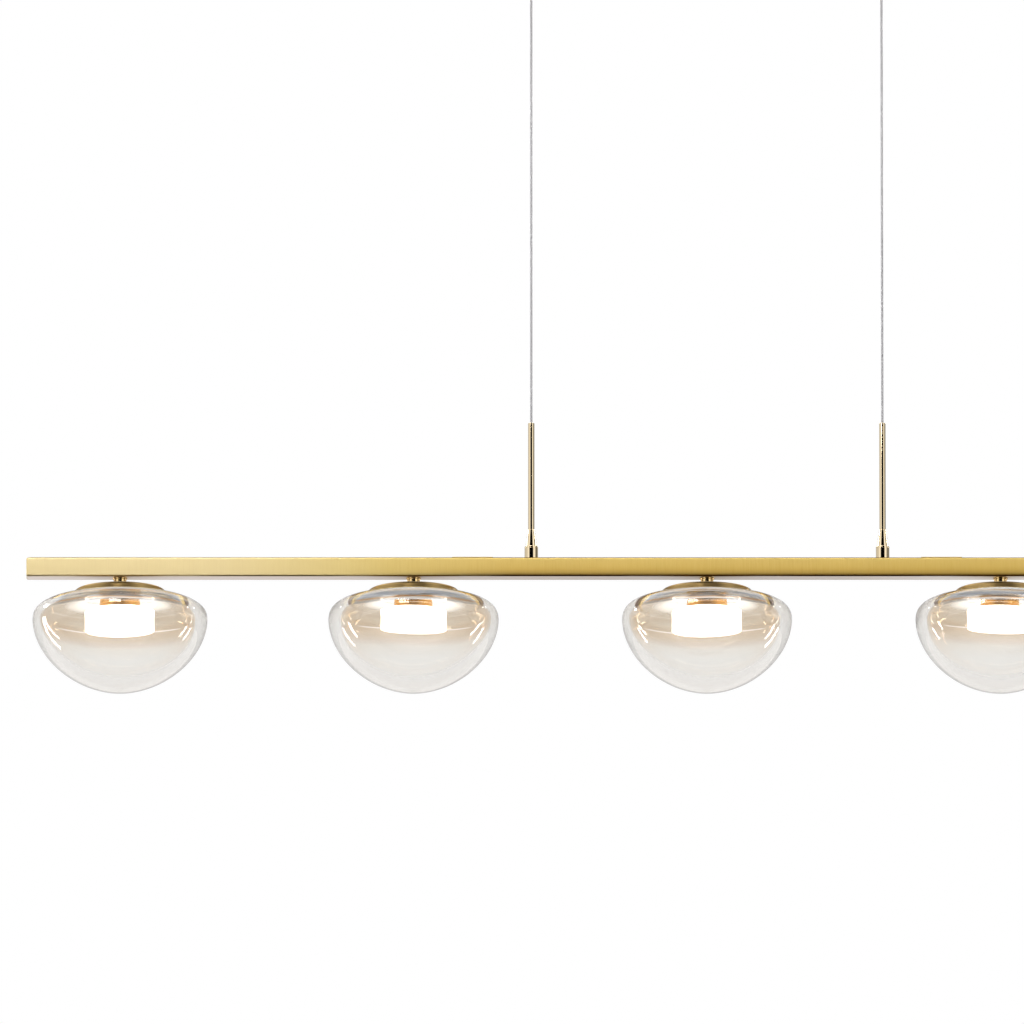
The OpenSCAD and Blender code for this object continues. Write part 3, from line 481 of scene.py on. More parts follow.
# screws by Geometry Nodes: a turned head with a hexagon socket, put on a list of places
def screwTree(name, material):
    tree = bpy.data.node_groups.new(name, "GeometryNodeTree")
    tree.interface.new_socket("Places", in_out="INPUT", socket_type="NodeSocketGeometry")
    for label in ("Head diameter", "Head height", "Shank diameter", "Shank length", "Socket size"):
        tree.interface.new_socket(label, in_out="INPUT", socket_type="NodeSocketFloat")
    tree.interface.new_socket("Screws", in_out="OUTPUT", socket_type="NodeSocketGeometry")
    given = tree.nodes.new("NodeGroupInput").outputs
    headR, crownR, shankR, edgeH, topH, down = [
        addNode(tree, "ShaderNodeMath", {0: given[label], 1: share}, operation="MULTIPLY")
        for label, share in (("Head diameter", 0.5), ("Head diameter", 0.4), ("Shank diameter", 0.5),
                             ("Head height", 0.65), ("Head height", 0.35), ("Shank length", -1.0))]
    # barrel of the head, its crown, the shank, and the socket that is cut out of them
    solids = []
    for sides, topR, lowR, depth, lift in (
            (32, headR, headR, edgeH, 0.0), (32, crownR, headR, topH, edgeH),
            (24, shankR, shankR, given["Shank length"], down),
            (6, given["Socket size"], given["Socket size"], given["Head height"], topH)):
        cone = addNode(tree, "GeometryNodeMeshCone", {
            "Vertices": sides, "Radius Top": topR, "Radius Bottom": lowR, "Depth": depth})
        offset = addNode(tree, "ShaderNodeCombineXYZ", {2: lift})
        solids.append(addNode(tree, "GeometryNodeTransform", {0: cone, "Translation": offset}))
    joined = addNode(tree, "GeometryNodeMeshBoolean", operation="UNION")
    for solid in solids[:3]:
        tree.links.new(solid.outputs[0], joined.inputs[1])
    cut = addNode(tree, "GeometryNodeMeshBoolean", {0: joined, 1: solids[3]}, operation="DIFFERENCE")
    # a place's own direction turns its screw
    aimed = addNode(tree, "GeometryNodeInputNamedAttribute", {
        "Name": "direction"}, data_type="FLOAT_VECTOR")
    turn = addNode(tree, "FunctionNodeAlignRotationToVector", {"Vector": aimed}, axis="Z")
    put = addNode(tree, "GeometryNodeInstanceOnPoints", {
        "Points": given["Places"], "Instance": cut, "Rotation": turn})
    real = addNode(tree, "GeometryNodeRealizeInstances", {0: put})
    painted = addNode(tree, "GeometryNodeSetMaterial", {0: real, "Material": material})
    addNode(tree, "NodeGroupOutput", {0: painted})
    return tree


def repeated(name, tree, places, sizes, material):
    # runs a tree over a list of places and keeps the result as a plain mesh
    carrier = bpy.data.meshes.new(name + "Places")
    carrier.from_pydata([p for p, _ in places], [], [])
    direction = carrier.attributes.new("direction", "FLOAT_VECTOR", "POINT")
    for item, (_, d) in zip(direction.data, places):
        item.vector = d
    holder = bpy.data.objects.new(name + "Places", carrier)
    scene.collection.objects.link(holder)
    modifier = holder.modifiers.new("repeat", "NODES")
    modifier.node_group = tree
    for item in tree.interface.items_tree:
        if item.item_type == "SOCKET" and item.in_out == "INPUT" and item.name in sizes:
            modifier[item.identifier] = sizes[item.name]
    bpy.context.view_layer.update()
    ready = holder.evaluated_get(bpy.context.evaluated_depsgraph_get())
    mesh = bpy.data.meshes.new_from_object(ready)
    mesh.name = name
    bpy.data.objects.remove(holder)
    bm = bmesh.new()
    bm.from_mesh(mesh)
    return meshObject(name, settle(bm, mesh, 0.5), [material])


plateScrew = {"Head diameter": 4.2 * mm, "Head height": 1.1 * mm, "Shank diameter": 2.4 * mm,
              "Shank length": 4.0 * mm, "Socket size": 0.9 * mm}
plateInset = 4 * mm
screws = screwTree("socketScrews", turnedBrass)
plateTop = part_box("access_plate_left")[1].z
places = []
for side in ("left", "right"):
    low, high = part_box("access_plate_" + side)
    for x in (low.x + plateInset, high.x - plateInset):
        places.append(((x, 0, plateTop), (0, 0, 1)))
piece = repeated("access_plate_screws", screws, places, plateScrew, turnedBrass)
finishPiece(piece, "fixture", ["access_screws"])

fitterScrew = {"Head diameter": 4.0 * mm, "Head height": 2.0 * mm, "Shank diameter": 2.6 * mm,
               "Shank length": 6.5 * mm, "Socket size": 0.9 * mm}
fitters = {"bearings": (-33, 87, 207), "underHead": 47.8 * mm}   # round each cap, from its middle
fitterZ = middle("fitter_screws").z
places = []
for i in range(1, 6):
    spot = middle(f"lamp_cap_{i}")
    for degrees in fitters["bearings"]:
        a = math.radians(degrees)
        d = Vector((math.cos(a), math.sin(a), 0))
        places.append((Vector((spot.x, spot.y, fitterZ)) + d * fitters["underHead"], d))
piece = repeated("glass_fitter_screws", screws, places, fitterScrew, turnedBrass)
finishPiece(piece, "fixture", ["fitter_screws"])
print("screws done")

# stems, collars and ferrules on both cables: radii and heights in mm
stem = {
    "bore": 1.6, "r": 3.3, "top": -538, "low": -651, "spigotR": 2.5, "spigotLow": -658,
    "collarR": 3.5, "collarFootR": 6.0, "collarLow": -669.3, "shankR": 4.0, "shankLow": -673.3,
    "ferruleR": 7.0, "seam": -670.9, "seamH": 0.4, "seamDepth": 0.25, "barTop": -682.3,
    "threadLow": -689.8,
    "roundSpigot": 0.05, "roundShank": 0.1, "under": 0.2,   # clearances
}
bore, shankR, collarLow = stem["bore"], stem["shankR"], stem["collarLow"]
socketR, socketLow = stem["spigotR"] + stem["roundSpigot"], stem["spigotLow"] - stem["under"]
nestR, nestLow = shankR + stem["roundShank"], stem["shankLow"] - stem["under"]
ferruleR, seam = stem["ferruleR"], stem["seam"]
seamTop, seamR = seam + stem["seamH"], ferruleR - stem["seamDepth"]
profiles = {
    "stem": rounded([
        (bore, stem["top"]), (stem["r"], stem["top"]), (stem["r"], stem["low"]),
        (stem["spigotR"], stem["low"]), (stem["spigotR"], stem["spigotLow"]),
        (bore, stem["spigotLow"])], 0.35),
    "collar": rounded([
        (socketR, stem["low"]), (stem["collarR"], stem["low"]), (stem["collarFootR"], collarLow),
        (shankR, collarLow), (shankR, stem["shankLow"]), (bore, stem["shankLow"]),
        (bore, socketLow), (socketR, socketLow)], 0.3),
    "ferrule": rounded([
        (nestR, collarLow), (ferruleR, collarLow), (ferruleR, seamTop), (seamR, seamTop),
        (seamR, seam), (ferruleR, seam), (ferruleR, stem["barTop"]), (shankR, stem["barTop"]),
        (shankR, stem["threadLow"]), (bore, stem["threadLow"]), (bore, nestLow),
        (nestR, nestLow)], 0.3),
}
for side, spot in cables.items():
    for kind, profile in profiles.items():
        node = f"{kind}_{side}"
        mesh = latheMesh(node, profile, (spot.x, spot.y), 72, loop=True)
        finishPiece(meshObject("plated_" + node, mesh, [palePlate]), "fixture", [node])
print("stems done")

# lamps: sizes in mm, heights below the bar's underside
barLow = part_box("bar_tube")[0].z / mm
lamp = {
    "post": 6.6, "postFlange": 7.7, "flangeT": 1.5, "postH": 6.2, "bore": 2.2, "shank": 4.0,
    "threadUp": 6.5, "threadDown": 4.0, "roundShank": 0.1, "under": 0.2,
    "capR": 47.3, "bossR": 13.5, "bossH": 6.3, "slopeW": 5.0, "edgeW": 7.0, "edgeH": 3.0, "skirtH": 8.7,
    "wall": 1.2, "holderR": 20.7, "hubGap": 1.0, "seamLow": 2.0, "seamTop": 2.6, "seamDepth": 0.4,
    "drumTop": -35.5, "drumR": 35.0, "drumH": 22.3, "drumWall": 2.0,
    "beadDrop": 1.5, "beadHalf": 0.4, "beadOut": 0.6,
    "glassR": 88.5, "shoulderH": 22.6, "bowlH": 76.8, "sideWall": 10.5, "topWall": 5.0,
    "baseWall": 15.0, "neckR": 38.0, "grooveR": 41.0, "lipR": 43.8, "lipH": 1.5, "neckH": 6.0,
    "neckRound": 3.0, "shoulderStep": 3.7, "shoulderPower": 2.5, "bowlPower": 1.85, "gap": 0.4,
}
boss = barLow - lamp["postH"]
plateau = boss - lamp["bossH"]
rim = plateau - lamp["skirtH"]
shoulder = rim - lamp["gap"]
wide = shoulder - lamp["shoulderH"]
lipTop, lipLow = shoulder + lamp["neckH"], shoulder + lamp["neckH"] - lamp["lipH"]
drumTop = barLow + lamp["drumTop"]
drumLow = drumTop - lamp["drumH"]


def quarter(r0, w, z0, h, power, steps):
    # quarter of a superellipse from (r0 + w, z0) to (r0, z0 + h)
    out = []
    for i in range(steps + 1):
        a = math.pi / 2 * i / steps
        c, s = max(0.0, math.cos(a)), math.sin(a)
        out.append((r0 + w * c ** (2 / power), z0 + h * s ** (2 / power)))
    out[-1] = (r0, z0 + h)
    return out


def eased(points, passes, first, last):
    # evens out the curvature between two places of a profile
    points = [list(p) for p in points]
    for _ in range(passes):
        new = [list(p) for p in points]
        for i in range(max(1, first), min(last, len(points) - 1)):
            for k in (0, 1):
                new[i][k] = points[i][k] * 0.5 + (points[i - 1][k] + points[i + 1][k]) * 0.25
        points = new
    return [tuple(p) for p in points]


threadTop, threadLow = barLow + lamp["threadUp"], plateau - lamp["threadDown"]
bore, shankR, flangeLow = lamp["bore"], lamp["shank"], barLow - lamp["flangeT"]
postProfile = rounded([
    (bore, threadTop), (shankR, threadTop), (shankR, barLow), (lamp["postFlange"], barLow),
    (lamp["postFlange"], flangeLow), (lamp["post"], flangeLow), (lamp["post"], boss), (shankR, boss),
    (shankR, threadLow), (bore, threadLow)], 0.3)


def capOutline(t):
    # outer skin of the cap moved inwards by t: boss, slope, rounded edge, rim
    turns = [math.pi * i / 24 for i in range(25)]
    slope = [(lamp["bossR"] - t + lamp["slopeW"] * a / math.pi,
              plateau - t + lamp["bossH"] * (1 + math.cos(a)) / 2) for a in turns]
    edge = quarter(lamp["capR"] - lamp["edgeW"], lamp["edgeW"] - t, plateau - lamp["edgeH"],
                   lamp["edgeH"] - t, power=2, steps=10)
    return slope + edge[::-1] + [(lamp["capR"] - t, rim)]


boreR = shankR + lamp["roundShank"]
holderTop = boss - lamp["wall"]
capSkin = len(capOutline(0))
capProfile = [(boreR, boss)] + capOutline(0) + capOutline(lamp["wall"])[::-1] + [(boreR, holderTop)]


def enamelSlot(n):
    # the inner skin of a cap is enamelled
    return int(capSkin < n < len(capProfile) - 2)


hubR, hubLow = lamp["bossR"] - lamp["wall"] - lamp["hubGap"], plateau - lamp["wall"]
holderR = lamp["holderR"]
seamLow, seamTop = drumTop + lamp["seamLow"], drumTop + lamp["seamTop"]
seamR, pocket = holderR - lamp["seamDepth"], threadLow - lamp["under"]
holderProfile = rounded([
    (boreR, holderTop), (hubR, holderTop), (hubR, hubLow), (holderR, hubLow), (holderR, seamTop),
    (seamR, seamTop), (seamR, seamLow), (holderR, seamLow), (holderR, drumTop), (bore, drumTop),
    (bore, pocket), (boreR, pocket)], 0.3)
drumR, half = lamp["drumR"], lamp["beadHalf"]
inner, drumFloor = drumR - lamp["drumWall"], drumLow + lamp["drumWall"]
bead = drumTop - lamp["beadDrop"]
drumProfile = rounded([
    (0, drumLow), (drumR, drumLow), (drumR, drumTop), (inner, drumTop), (inner, bead + half),
    (inner - lamp["beadOut"], bead), (inner, bead - half), (inner, drumFloor), (0, drumFloor)], 0.6)

for i in range(1, 6):
    spot = middle(f"lamp_cap_{i}")
    for kind, profile, steps, loop, finishes, slotName in (
            ("post", postProfile, 72, True, [turnedBrass], "brushed_brass"),
            ("lamp_cap", capProfile, 128, True, [spunBrass, whiteEnamel], "spun_brass"),
            ("holder", holderProfile, 96, True, [warmBrass], "spun_brass"),
            ("diffuser", drumProfile, 96, False, [opalAcrylic], "opal_acrylic")):
        node = f"{kind}_{i}"
        slotOf = enamelSlot if kind == "lamp_cap" else None
        mesh = latheMesh(node, profile, (spot.x, spot.y), steps, loop=loop, slotOf=slotOf)
        finishPiece(meshObject("made_" + node, mesh, finishes), "fixture", [node])
print("lamp metalwork and drums done")

# glass
glassLook = {
    # how far each bubble was blown off centre, in mm along X and Y at its widest line
    "offCentre": {1: (-1.2, 1.5), 2: (0.8, -1.0), 3: (-1.0, 1.0), 4: (-0.3, -1.5), 5: (3.0, 0.5)},
    # how much wider a bubble came out along the bar
    "wider": {1: 0.026, 2: 0.0, 3: 0.0, 4: 0.0, 5: 0.0},
    "waveOuter": 0.0035, "waveInner": 0.007,   # share of the radius
    "phase": 1.7,
}
outerGlass, tree, surface = newMaterial("clearBlownGlass")
# clear soda-lime glass, fire polished: only the faint waves of blowing in its skin
place = addNode(tree, "ShaderNodeTexCoord").outputs["Object"]
waves = addNode(tree, "ShaderNodeTexNoise", {"Scale": 14.0, "Detail": 1.0, "Vector": place})
bump = addNode(tree, "ShaderNodeBump", {"Strength": 0.05, "Distance": 0.002, "Height": waves})
# painted shade: the glass is painted darker towards its grazing edges, a dark outline standing in for
# dark surroundings seen there
facing = addNode(tree, "ShaderNodeLayerWeight", {"Blend": 0.5})
edge = addNode(tree, "ShaderNodeValToRGB", {0: facing.outputs["Facing"]}, ramp=[
    (0.0, "#f2f1ee"), (0.3, "#f0efec"), (0.5, "#e6e3de"), (0.74, "#e3dfd9"), (0.86, "#c4beb6"),
    (0.95, "#8f887f")])
# painted reflections on the front of the shoulder: thin, uneven blue-grey and gold bands
spots = addNode(tree, "ShaderNodeSeparateXYZ", {0: place})
climb = addNode(tree, "ShaderNodeMapRange", {0: spots.outputs[2], 1: wide * mm, 2: shoulder * mm})
drift = addNode(tree, "ShaderNodeTexNoise", {"Scale": 30.0, "Detail": 1.0, "Vector": place})
sway = addNode(tree, "ShaderNodeMapRange", {0: drift, 3: -0.09, 4: 0.09})
level = addNode(tree, "ShaderNodeMath", {0: climb, 1: sway}, operation="ADD")
paintedReflectionBands = addNode(tree, "ShaderNodeValToRGB", {0: level}, ramp=[
    (0.08, "#ffffff"), (0.15, "#98a0ac"), (0.22, "#d8d5d0"), (0.27, "#cf9a62"), (0.31, "#8792a2"),
    (0.42, "#c9cbd0"), (0.5, "#8a94a3"), (0.58, "#d8d4ce"), (0.66, "#c69659"), (0.72, "#7e8794"),
    (0.8, "#a8acb4"), (0.9, "#e8e8e8")])
front = frontMask(tree, addNode(tree, "ShaderNodeUVMap"), 0.15, 0.12)
frontReflections = addNode(tree, "ShaderNodeMix", {0: front, 6: (1, 1, 1, 1), 7: paintedReflectionBands}, data_type="RGBA")
paintedOutlineAndBands = addNode(tree, "ShaderNodeMix", {
    0: 1.0, 6: edge, 7: frontReflections.outputs[2]}, data_type="RGBA", blend_type="MULTIPLY")
# painted glow at grazing angles: emission stands in for light that runs round inside the wall and leaks
# out at each turn, so thick places never go black
turned = addNode(tree, "ShaderNodeFresnel", {"IOR": 1.5})
paintedLeakGlow = addNode(tree, "ShaderNodeMapRange", {0: turned, 1: 0.95, 2: 1.0, 3: 0.0, 4: 0.23})
feed(tree, surface, {
    "Base Color": paintedOutlineAndBands.outputs[2], "Normal": bump, "Roughness": 0.0, "IOR": 1.5,
    "Transmission Weight": 1.0, "Emission Color": linear("#efece8"), "Emission Strength": paintedLeakGlow})

coatedGlass, tree, surface = newMaterial("champagneMirrorCoatedGlass")
# vapour coated inside: a champagne half mirror at the neck that fades to clear at the bottom
place = addNode(tree, "ShaderNodeTexCoord").outputs["Object"]
height = addNode(tree, "ShaderNodeSeparateXYZ", {0: place})
fade = addNode(tree, "ShaderNodeMapRange", {
    0: height.outputs[2], 1: (wide - lamp["bowlH"]) * mm, 2: shoulder * mm})
tone = addNode(tree, "ShaderNodeValToRGB", {0: fade}, ramp=[
    (0.0, "#ffffff"), (0.38, "#fdfcfa"), (0.54, "#f6eee4"), (0.64, "#e4d4bf"), (0.76, "#e0cfb8"),
    (0.84, "#e6d8c5"), (0.9, "#ede3d5"), (0.94, "#f6f3ee"), (0.95, "#ffffff"), (1.0, "#ffffff")])
farTone = addNode(tree, "ShaderNodeValToRGB", {0: fade}, ramp=[
    (0.0, "#ffffff"), (0.38, "#fdfcfa"), (0.54, "#f6eee4"), (0.6, "#e4d0bd"), (0.66, "#dac1a5"),
    (0.72, "#d6b998"), (0.8, "#dcc6aa"), (0.86, "#e6d8c5"), (0.9, "#ede3d5"), (0.94, "#f6f3ee"),
    (0.95, "#ffffff"), (1.0, "#ffffff")])
# the coat is darker and browner on the far side
behind = addNode(tree, "ShaderNodeMapRange", {0: height.outputs[1], 1: 0.005, 2: 0.03})
coat = addNode(tree, "ShaderNodeMix", {0: behind, 6: tone, 7: farTone}, data_type="RGBA")
mirror = addNode(tree, "ShaderNodeValToRGB", {0: fade}, ramp=[
    (0.0, 0.0), (0.4, 0.02), (0.68, 0.03), (0.8, 0.14), (0.9, 0.24), (0.93, 0.2), (0.95, 0.06),
    (1.0, 0.0)])
# the uncoated neck is a little hazy
haze = addNode(tree, "ShaderNodeValToRGB", {0: fade}, ramp=[
    (0.0, 1.0), (0.925, 1.0), (0.9495, 0.35), (1.0, 0.3)])
# and is painted with a glow that stands in for some of the drum's light caught there
paintedNeckGlow = addNode(tree, "ShaderNodeValToRGB", {0: fade}, ramp=[
    (0.0, 0.0), (0.938, 0.0), (0.9495, 0.55), (1.0, 0.6)])
# painted highlight: a thin glowing line on the far wall's widest line, where it comes out beside the
# drum, standing in for a caustic of the drum's light
line = addNode(tree, "ShaderNodeValToRGB", {0: fade}, ramp=[
    (0.749, 0.0), (0.755, 0.6), (0.76, 0.6), (0.766, 0.0)])
ends = addNode(tree, "ShaderNodeMapRange", {0: height.outputs[1], 1: 0.042, 2: 0.054})
glow = addNode(tree, "ShaderNodeMath", {0: line, 1: ends, 2: paintedNeckGlow}, operation="MULTIPLY_ADD")
feed(tree, surface, {
    "Base Color": coat.outputs[2], "Metallic": mirror, "Roughness": 0.0, "IOR": 1.5,
    "Transmission Weight": haze, "Emission Color": linear("#dce9ff"), "Emission Strength": glow})

glassR, neckR, grooveR, lipR = lamp["glassR"], lamp["neckR"], lamp["grooveR"], lamp["lipR"]
bowl = quarter(0, glassR, wide, -lamp["bowlH"], lamp["bowlPower"], 40)[::-1]
shoulderR, power = grooveR + lamp["shoulderStep"], lamp["shoulderPower"]
upper = quarter(shoulderR, glassR - shoulderR, wide, lamp["shoulderH"], power, 24)
outside = eased(bowl + upper[1:], passes=6, first=1, last=62)
neck = rounded([(shoulderR, shoulder), (grooveR, shoulder), (grooveR, lipLow), (lipR, lipLow),
                (lipR, lipTop), (neckR, lipTop), (neckR, lipTop - lamp["neckRound"])], 0.5)[1:]
cavityR = glassR - lamp["sideWall"]
roof = quarter(neckR, cavityR - neckR, wide, lamp["shoulderH"] - lamp["topWall"], power, 24)[::-1]
hollow = quarter(0, cavityR, wide, lamp["baseWall"] - lamp["bowlH"], lamp["bowlPower"], 40)
inside = eased(roof + hollow[1:], passes=6, first=2, last=63)
glassProfile = outside + neck + inside
firstInside = len(outside) + len(neck)


def smooth(a, b, x):
    t = min(1.0, max(0.0, (x - a) / (b - a)))
    return t * t * (3 - 2 * t)


def blownWarp(number):
    # uneven blowing: the bubble sits off centre, and both skins wave a little
    offX, offY = glassLook["offCentre"][number]
    phase = number * glassLook["phase"]

    def warp(i, x, y, z):
        turn = math.atan2(y, x)
        free = smooth(lipTop - 4, wide + 6, z)   # 0 at the neck, 1 in the bubble
        broad = 1 + glassLook["wider"][number] * free
        if i < firstInside:
            k = 1 - glassLook["waveOuter"] * free * (0.5 + 0.5 * math.sin(2 * turn + phase + z * 0.03))
            return x * k * broad, y * k, z
        k = 1 + glassLook["waveInner"] * free * math.sin(3 * turn + phase * 2 + z * 0.05)
        share = free * (1 - 0.55 * smooth(wide, wide - 60, z))   # less off centre towards the bottom
        return x * k * broad + offX * share, y * k + offY * share, z
    return warp


def glassSlot(n):
    # clear outside, coated from the neck inwards
    return int(n >= firstInside - 1)


for i in range(1, 6):
    node = f"glass_{i}"
    spot = middle(node)
    mesh = latheMesh(node, glassProfile, (spot.x, spot.y), 144, warp=blownWarp(i), slotOf=glassSlot)
    piece = meshObject("blown_" + node, mesh, [outerGlass, coatedGlass])
    finishPiece(piece, f"shade_{i}", [node])
print("glass done")

# ceiling side: sizes in mm
canopy = {"length": 460, "width": 115, "depth": 30, "wall": 1.2, "edge": 6}


def panMesh(name, section, straight, steps=48):
    # closed section swept round a path with two round ends
    bm = bmesh.new()
    uv = bm.loops.layers.uv.new("turned")
    rings = []
    for r, z in section:
        ring = []
        for end, start in ((1, -90), (-1, 90)):
            for k in range(steps + 1):
                a = math.radians(start + 180 * k / steps)
                x = end * straight / 2 + r * math.cos(a)
                ring.append(bm.verts.new((x * mm, r * math.sin(a) * mm, z * mm)))
        rings.append(ring)
    joinRings(bm, uv, section, rings)
    bmesh.ops.remove_doubles(bm, verts=bm.verts, dist=1e-7)
    loose = [f for f in bm.faces if f.calc_area() < 1e-14]
    bmesh.ops.delete(bm, geom=loose, context="FACES")
    return settle(bm, bpy.data.meshes.new(name))


def panSection(inset):
    r, depth, edge = canopy["width"] / 2 - inset, canopy["depth"] - inset, canopy["edge"] - inset
    turns = [math.pi / 2 * i / 12 for i in range(13)]
    arc = [(r - edge + edge * math.sin(a), -depth + edge * (1 - math.cos(a))) for a in turns]
    return [(0, -depth)] + arc + [(r, 0)]


section = panSection(0) + panSection(canopy["wall"])[::-1]
mesh = panMesh("canopy", section, canopy["length"] - canopy["width"])
piece = meshObject("pressed_canopy", mesh, [brushedBrass])
finishPiece(piece, "ceiling", ["canopy"])

# cap nuts, and the grippers with their release nozzles, all turned from brass rod
capNut = {"r": 6.0, "h": 9.0, "bore": 2.6, "flat": 2.0, "x": 205}
nutR, bore, flat, nutH = capNut["r"], capNut["bore"], capNut["flat"], capNut["h"]
dome = quarter(0, nutR, flat - nutH / 2, -nutH / 2 - flat, power=2.6, steps=14)
nutProfile = rounded([(bore, 0), (nutR, 0), (nutR, flat - nutH / 2)], 0.4)[:-1] + dome
nutProfile = [(r, z - canopy["depth"]) for r, z in nutProfile + [(0, flat - nutH), (bore, flat - nutH)]]
gripper = {
    "shankR": 5.0, "shankUp": 8.2, "bore": 1.6, "r": 7.0, "length": 20.0, "waistR": 6.55,
    "waistTop": -6.6, "waistLow": -13.0, "bevel": 0.4, "throatR": 3.38, "throatTop": -5.0,
}
nozzle = {"low": -58, "bore": 1.6, "flangeR": 4.5, "flangeH": 3.5, "r": 3.3, "h": 18}
bore, gripR, shankR, low = gripper["bore"], gripper["r"], gripper["shankR"], -gripper["length"]
waistR, waistTop, waistLow = gripper["waistR"], gripper["waistTop"], gripper["waistLow"]
outline = [
    (bore, gripper["shankUp"]), (shankR, gripper["shankUp"]), (shankR, 0), (gripR, 0),
    (gripR, waistTop), (waistR, waistTop - gripper["bevel"]), (waistR, waistLow + gripper["bevel"]),
    (gripR, waistLow), (gripR, low), (gripper["throatR"], low),
    (gripper["throatR"], gripper["throatTop"]), (bore, gripper["throatTop"])]
gripProfile = rounded([(r, z - canopy["depth"]) for r, z in outline], 0.35)
bore, low = nozzle["bore"], nozzle["low"]
step, top = low + nozzle["flangeH"], low + nozzle["h"]
nozzleProfile = rounded([(bore, low), (nozzle["flangeR"], low), (nozzle["flangeR"], step),
                         (nozzle["r"], step), (nozzle["r"], top), (bore, top)], 0.4)
for side, spot in cables.items():
    for kind, profile, steps, finish, slotName, body in (
            ("gripper_", gripProfile, 72, turnedBrass, "brushed_brass", "ceiling"),
            ("nozzle_", nozzleProfile, 64, palePlate, "pale_gold", "release_" + side)):
        node = kind + side
        mesh = latheMesh(node, profile, (spot.x, spot.y), steps, loop=True)
        finishPiece(meshObject("turned_" + node, mesh, [finish]), body, [node])
nuts = bmesh.new()
for side in (-1, 1):
    nuts.from_mesh(latheMesh("capNut", nutProfile, (side * capNut["x"] * mm, 0), 64, loop=True))
mesh = bpy.data.meshes.new("canopy_nuts")
nuts.to_mesh(mesh)
nuts.free()
finishPiece(
    meshObject("turned_cap_nuts", mesh, [turnedBrass]), "ceiling", ["canopy_nuts"])
print("ceiling side done")

# working parts that keep their CAD shape
keptFinish = {
    "mounting_bar": zincSteel, "canopy_studs": zincSteel, "driver": whiteCase,
    "canopy_screws": zincSteel, "terminal_block": whiteCase, "gripper_nuts": zincSteel,
    "canopy_leads": wireInsulation, "stem_nuts": zincSteel, "cable_stops": zincSteel,
    "bar_harness": enamelledCopper, "post_nuts": zincSteel, "led_plates": castAluminium,
    "led_boards": boardWhite,
}
for node, finish in keptFinish.items():
    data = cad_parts[node].data
    data.materials.clear()
    data.materials.append(finish)

# studio: pale floor, soft lamps, white backdrop
studio = {
    "worldLight": 0.62,
    # how bright the room looks in metal, by bearing: 0 and 1 towards the camera, 0.25 left, 0.5 behind
    "room": [(0.0, 0.0), (0.084, 0.0), (0.096, 0.6), (0.105, 0.95), (0.16, 0.95), (0.2, 0.66),
             (0.3, 0.62), (0.4, 0.5), (0.5, 0.45), (0.66, 0.35), (0.69, 0.05), (0.72, 0.05),
             (0.75, 0.3), (0.8, 0.4), (0.83, 1.0), (0.895, 1.0), (0.908, 0.5), (0.918, 0.0),
             (1.0, 0.0)],
    "roomStrength": 3.6,
    # the same by height: the horizon at 0.5, straight up at 1
    "ceiling": [(0.5, 0.34), (0.66, 0.36), (0.72, 0.36), (0.79, 0.48), (0.84, 0.95), (0.92, 1.0),
                (0.95, 0.12), (1.0, 0.06)],
    "floorSize": 60, "floorZ": -9.8,
    # what metal sees of the floor, from 12 m in front of the light to 18 m behind it
    "floorFar": 18.0, "floorNear": -12.0,
}
floorMesh = bpy.data.meshes.new("floor")
corners = [(x * studio["floorSize"], y * studio["floorSize"], studio["floorZ"])
           for x, y in ((-1, -1), (1, -1), (1, 1), (-1, 1))]
floorMesh.from_pydata(corners, [], [(0, 1, 2, 3)])
floor, tree, surface = newMaterial("palePaintedFloor")
feed(tree, surface, {"Base Color": linear("#e9e8e6"), "Roughness": 0.7})
# camera and glass see it white; in metal it is dark in front of the light and pale behind
rays = addNode(tree, "ShaderNodeLightPath")
place = addNode(tree, "ShaderNodeTexCoord").outputs["Object"]
split = addNode(tree, "ShaderNodeSeparateXYZ", {0: place})
depth = addNode(tree, "ShaderNodeMapRange", {
    0: split.outputs[1], 1: studio["floorNear"], 2: studio["floorFar"]})
mirrored = addNode(tree, "ShaderNodeValToRGB", {0: depth}, ramp=[
    (0.0, "#241b15"), (0.48, "#2e241c"), (0.62, "#c4b6ac"), (1.0, "#fffaf6")])
inMetal = addNode(tree, "ShaderNodeMath", {
    0: rays.outputs["Is Glossy Ray"], 1: rays.outputs["Is Transmission Ray"]}, operation="SUBTRACT",
    use_clamp=True)
seenAs = addNode(tree, "ShaderNodeMix", {0: inMetal, 6: (1, 1, 1, 1), 7: mirrored}, data_type="RGBA")
glow = addNode(tree, "ShaderNodeEmission", {"Strength": 1.0, "Color": seenAs.outputs[2]})
clearRays = addNode(tree, "ShaderNodeMath", {
    0: rays.outputs["Is Glossy Ray"], 1: rays.outputs["Is Transmission Ray"]}, operation="MAXIMUM")
cameraShare = addNode(tree, "ShaderNodeMath", {
    0: rays.outputs["Is Camera Ray"], 1: 0.6}, operation="MULTIPLY")
share = addNode(tree, "ShaderNodeMath", {0: clearRays, 1: cameraShare}, operation="MAXIMUM")
blended = addNode(tree, "ShaderNodeMixShader", {0: share, 1: surface, 2: glow})
tree.links.new(blended.outputs[0], next(n for n in tree.nodes if n.type == "OUTPUT_MATERIAL").inputs[0])
floorObject = meshObject("floor", floorMesh, [floor])

world = bpy.data.worlds.new("studio")
scene.world = world
world.use_nodes = True
tree = world.node_tree
tree.nodes.clear()
rays = addNode(tree, "ShaderNodeLightPath")
way = addNode(tree, "ShaderNodeTexCoord")
split = addNode(tree, "ShaderNodeSeparateXYZ", {0: way.outputs["Generated"]})
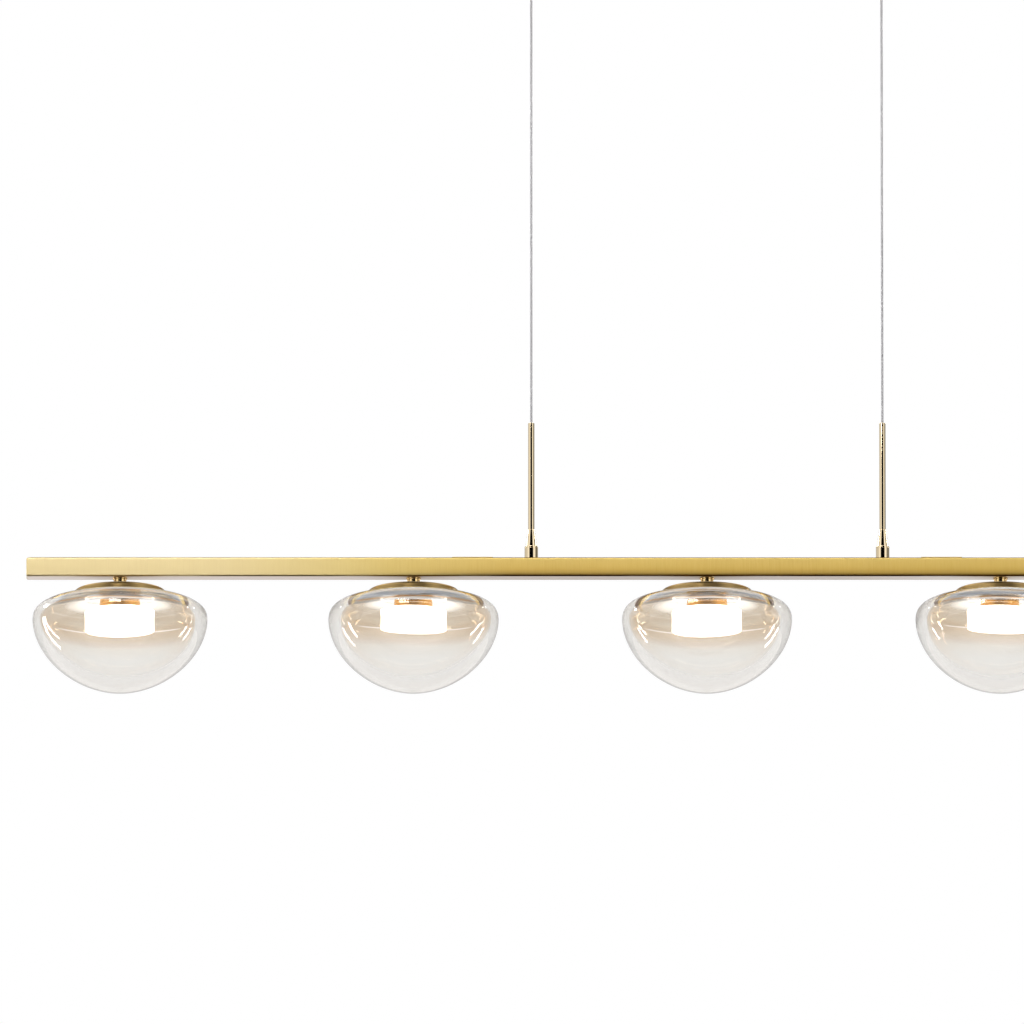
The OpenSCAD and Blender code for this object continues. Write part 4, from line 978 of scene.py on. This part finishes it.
# what metal mirrors: an even pale room with a narrow dark gap on the camera's side
angle = addNode(tree, "ShaderNodeMath", {0: split, 1: split.outputs[1]}, operation="ARCTAN2")
bearing = addNode(tree, "ShaderNodeMapRange", {0: angle, 1: -math.pi, 2: math.pi})
room = addNode(tree, "ShaderNodeValToRGB", {0: bearing}, ramp=studio["room"])
height = addNode(tree, "ShaderNodeMapRange", {0: split.outputs[2], 1: -1.0, 2: 1.0})
above = addNode(tree, "ShaderNodeValToRGB", {0: height}, ramp=studio["ceiling"])
both = addNode(tree, "ShaderNodeMix", {
    0: 1.0, 6: room, 7: above}, data_type="RGBA", blend_type="MULTIPLY")
seen = addNode(tree, "ShaderNodeBackground", {0: both.outputs[2], 1: studio["roomStrength"]})
lit = addNode(tree, "ShaderNodeBackground", {0: (1, 1, 1, 1), 1: studio["worldLight"]})
plain = addNode(tree, "ShaderNodeBackground", {0: (1, 1, 1, 1), 1: 1.0})
first = addNode(tree, "ShaderNodeMixShader", {0: rays.outputs["Is Glossy Ray"], 1: lit, 2: seen})
clearPath = addNode(tree, "ShaderNodeMath", {
    0: rays.outputs["Is Camera Ray"], 1: rays.outputs["Is Transmission Ray"]}, operation="MAXIMUM")
second = addNode(tree, "ShaderNodeMixShader", {0: clearPath, 1: first, 2: plain})
addNode(tree, "ShaderNodeOutputWorld", {0: second})

# lamps: place, what they face, width, height and watts
studioLamps = {
    "softboxLeft": ((-2.9, -2.8, 3.2), (-0.2, 0, -0.7), 1.8, 1.8, 36),
    "softboxRight": ((2.7, -2.8, 3.2), (-0.2, 0, -0.7), 1.8, 1.8, 28),
    # low and wide over the camera for the bar's face, stronger towards its left end
    "frontStrip": ((-0.1, -3.4, 0.75), (-0.1, 0, -0.7), 3.4, 0.4, 15.8),
    "frontLeft": ((-0.85, -2.2, 0.2), (-0.75, 0, -0.7), 0.6, 0.4, 9),
    # slim, a little behind, for the short bright marks on the glass
    "slimLeft": ((-2.7, 1.4, 0.46), (-0.2, 0, -0.75), 0.35, 0.36, 7.2),
    "slimRight": ((2.5, 1.4, 0.46), (-0.2, 0, -0.75), 0.35, 0.36, 7.2),
    # tall and narrow, lower and a little behind, for the strokes at the glasses' sides
    "edgeLeft": ((-2.9, 1.25, -1.42), (-0.2, 0, -1.42), 0.2, 1.8, 15),
    "edgeRight": ((2.5, 1.25, -1.42), (-0.2, 0, -1.42), 0.2, 1.8, 15),
    # low in front, for the bar's paler left end
    "lowLeft": ((-1.2, -2.0, -1.15), (-0.8, 0, -0.7), 1.0, 1.1, 5),
}
for name, (place, target, width, height, watts) in studioLamps.items():
    data = bpy.data.lights.new(name, "AREA")
    data.shape = "RECTANGLE"
    data.size, data.size_y, data.energy = width, height, watts
    light = bpy.data.objects.new(name, data)
    scene.collection.objects.link(light)
    light.location = place
    light.rotation_euler = (Vector(target) - Vector(place)).to_track_quat("-Z", "Y").to_euler()
print("studio done")
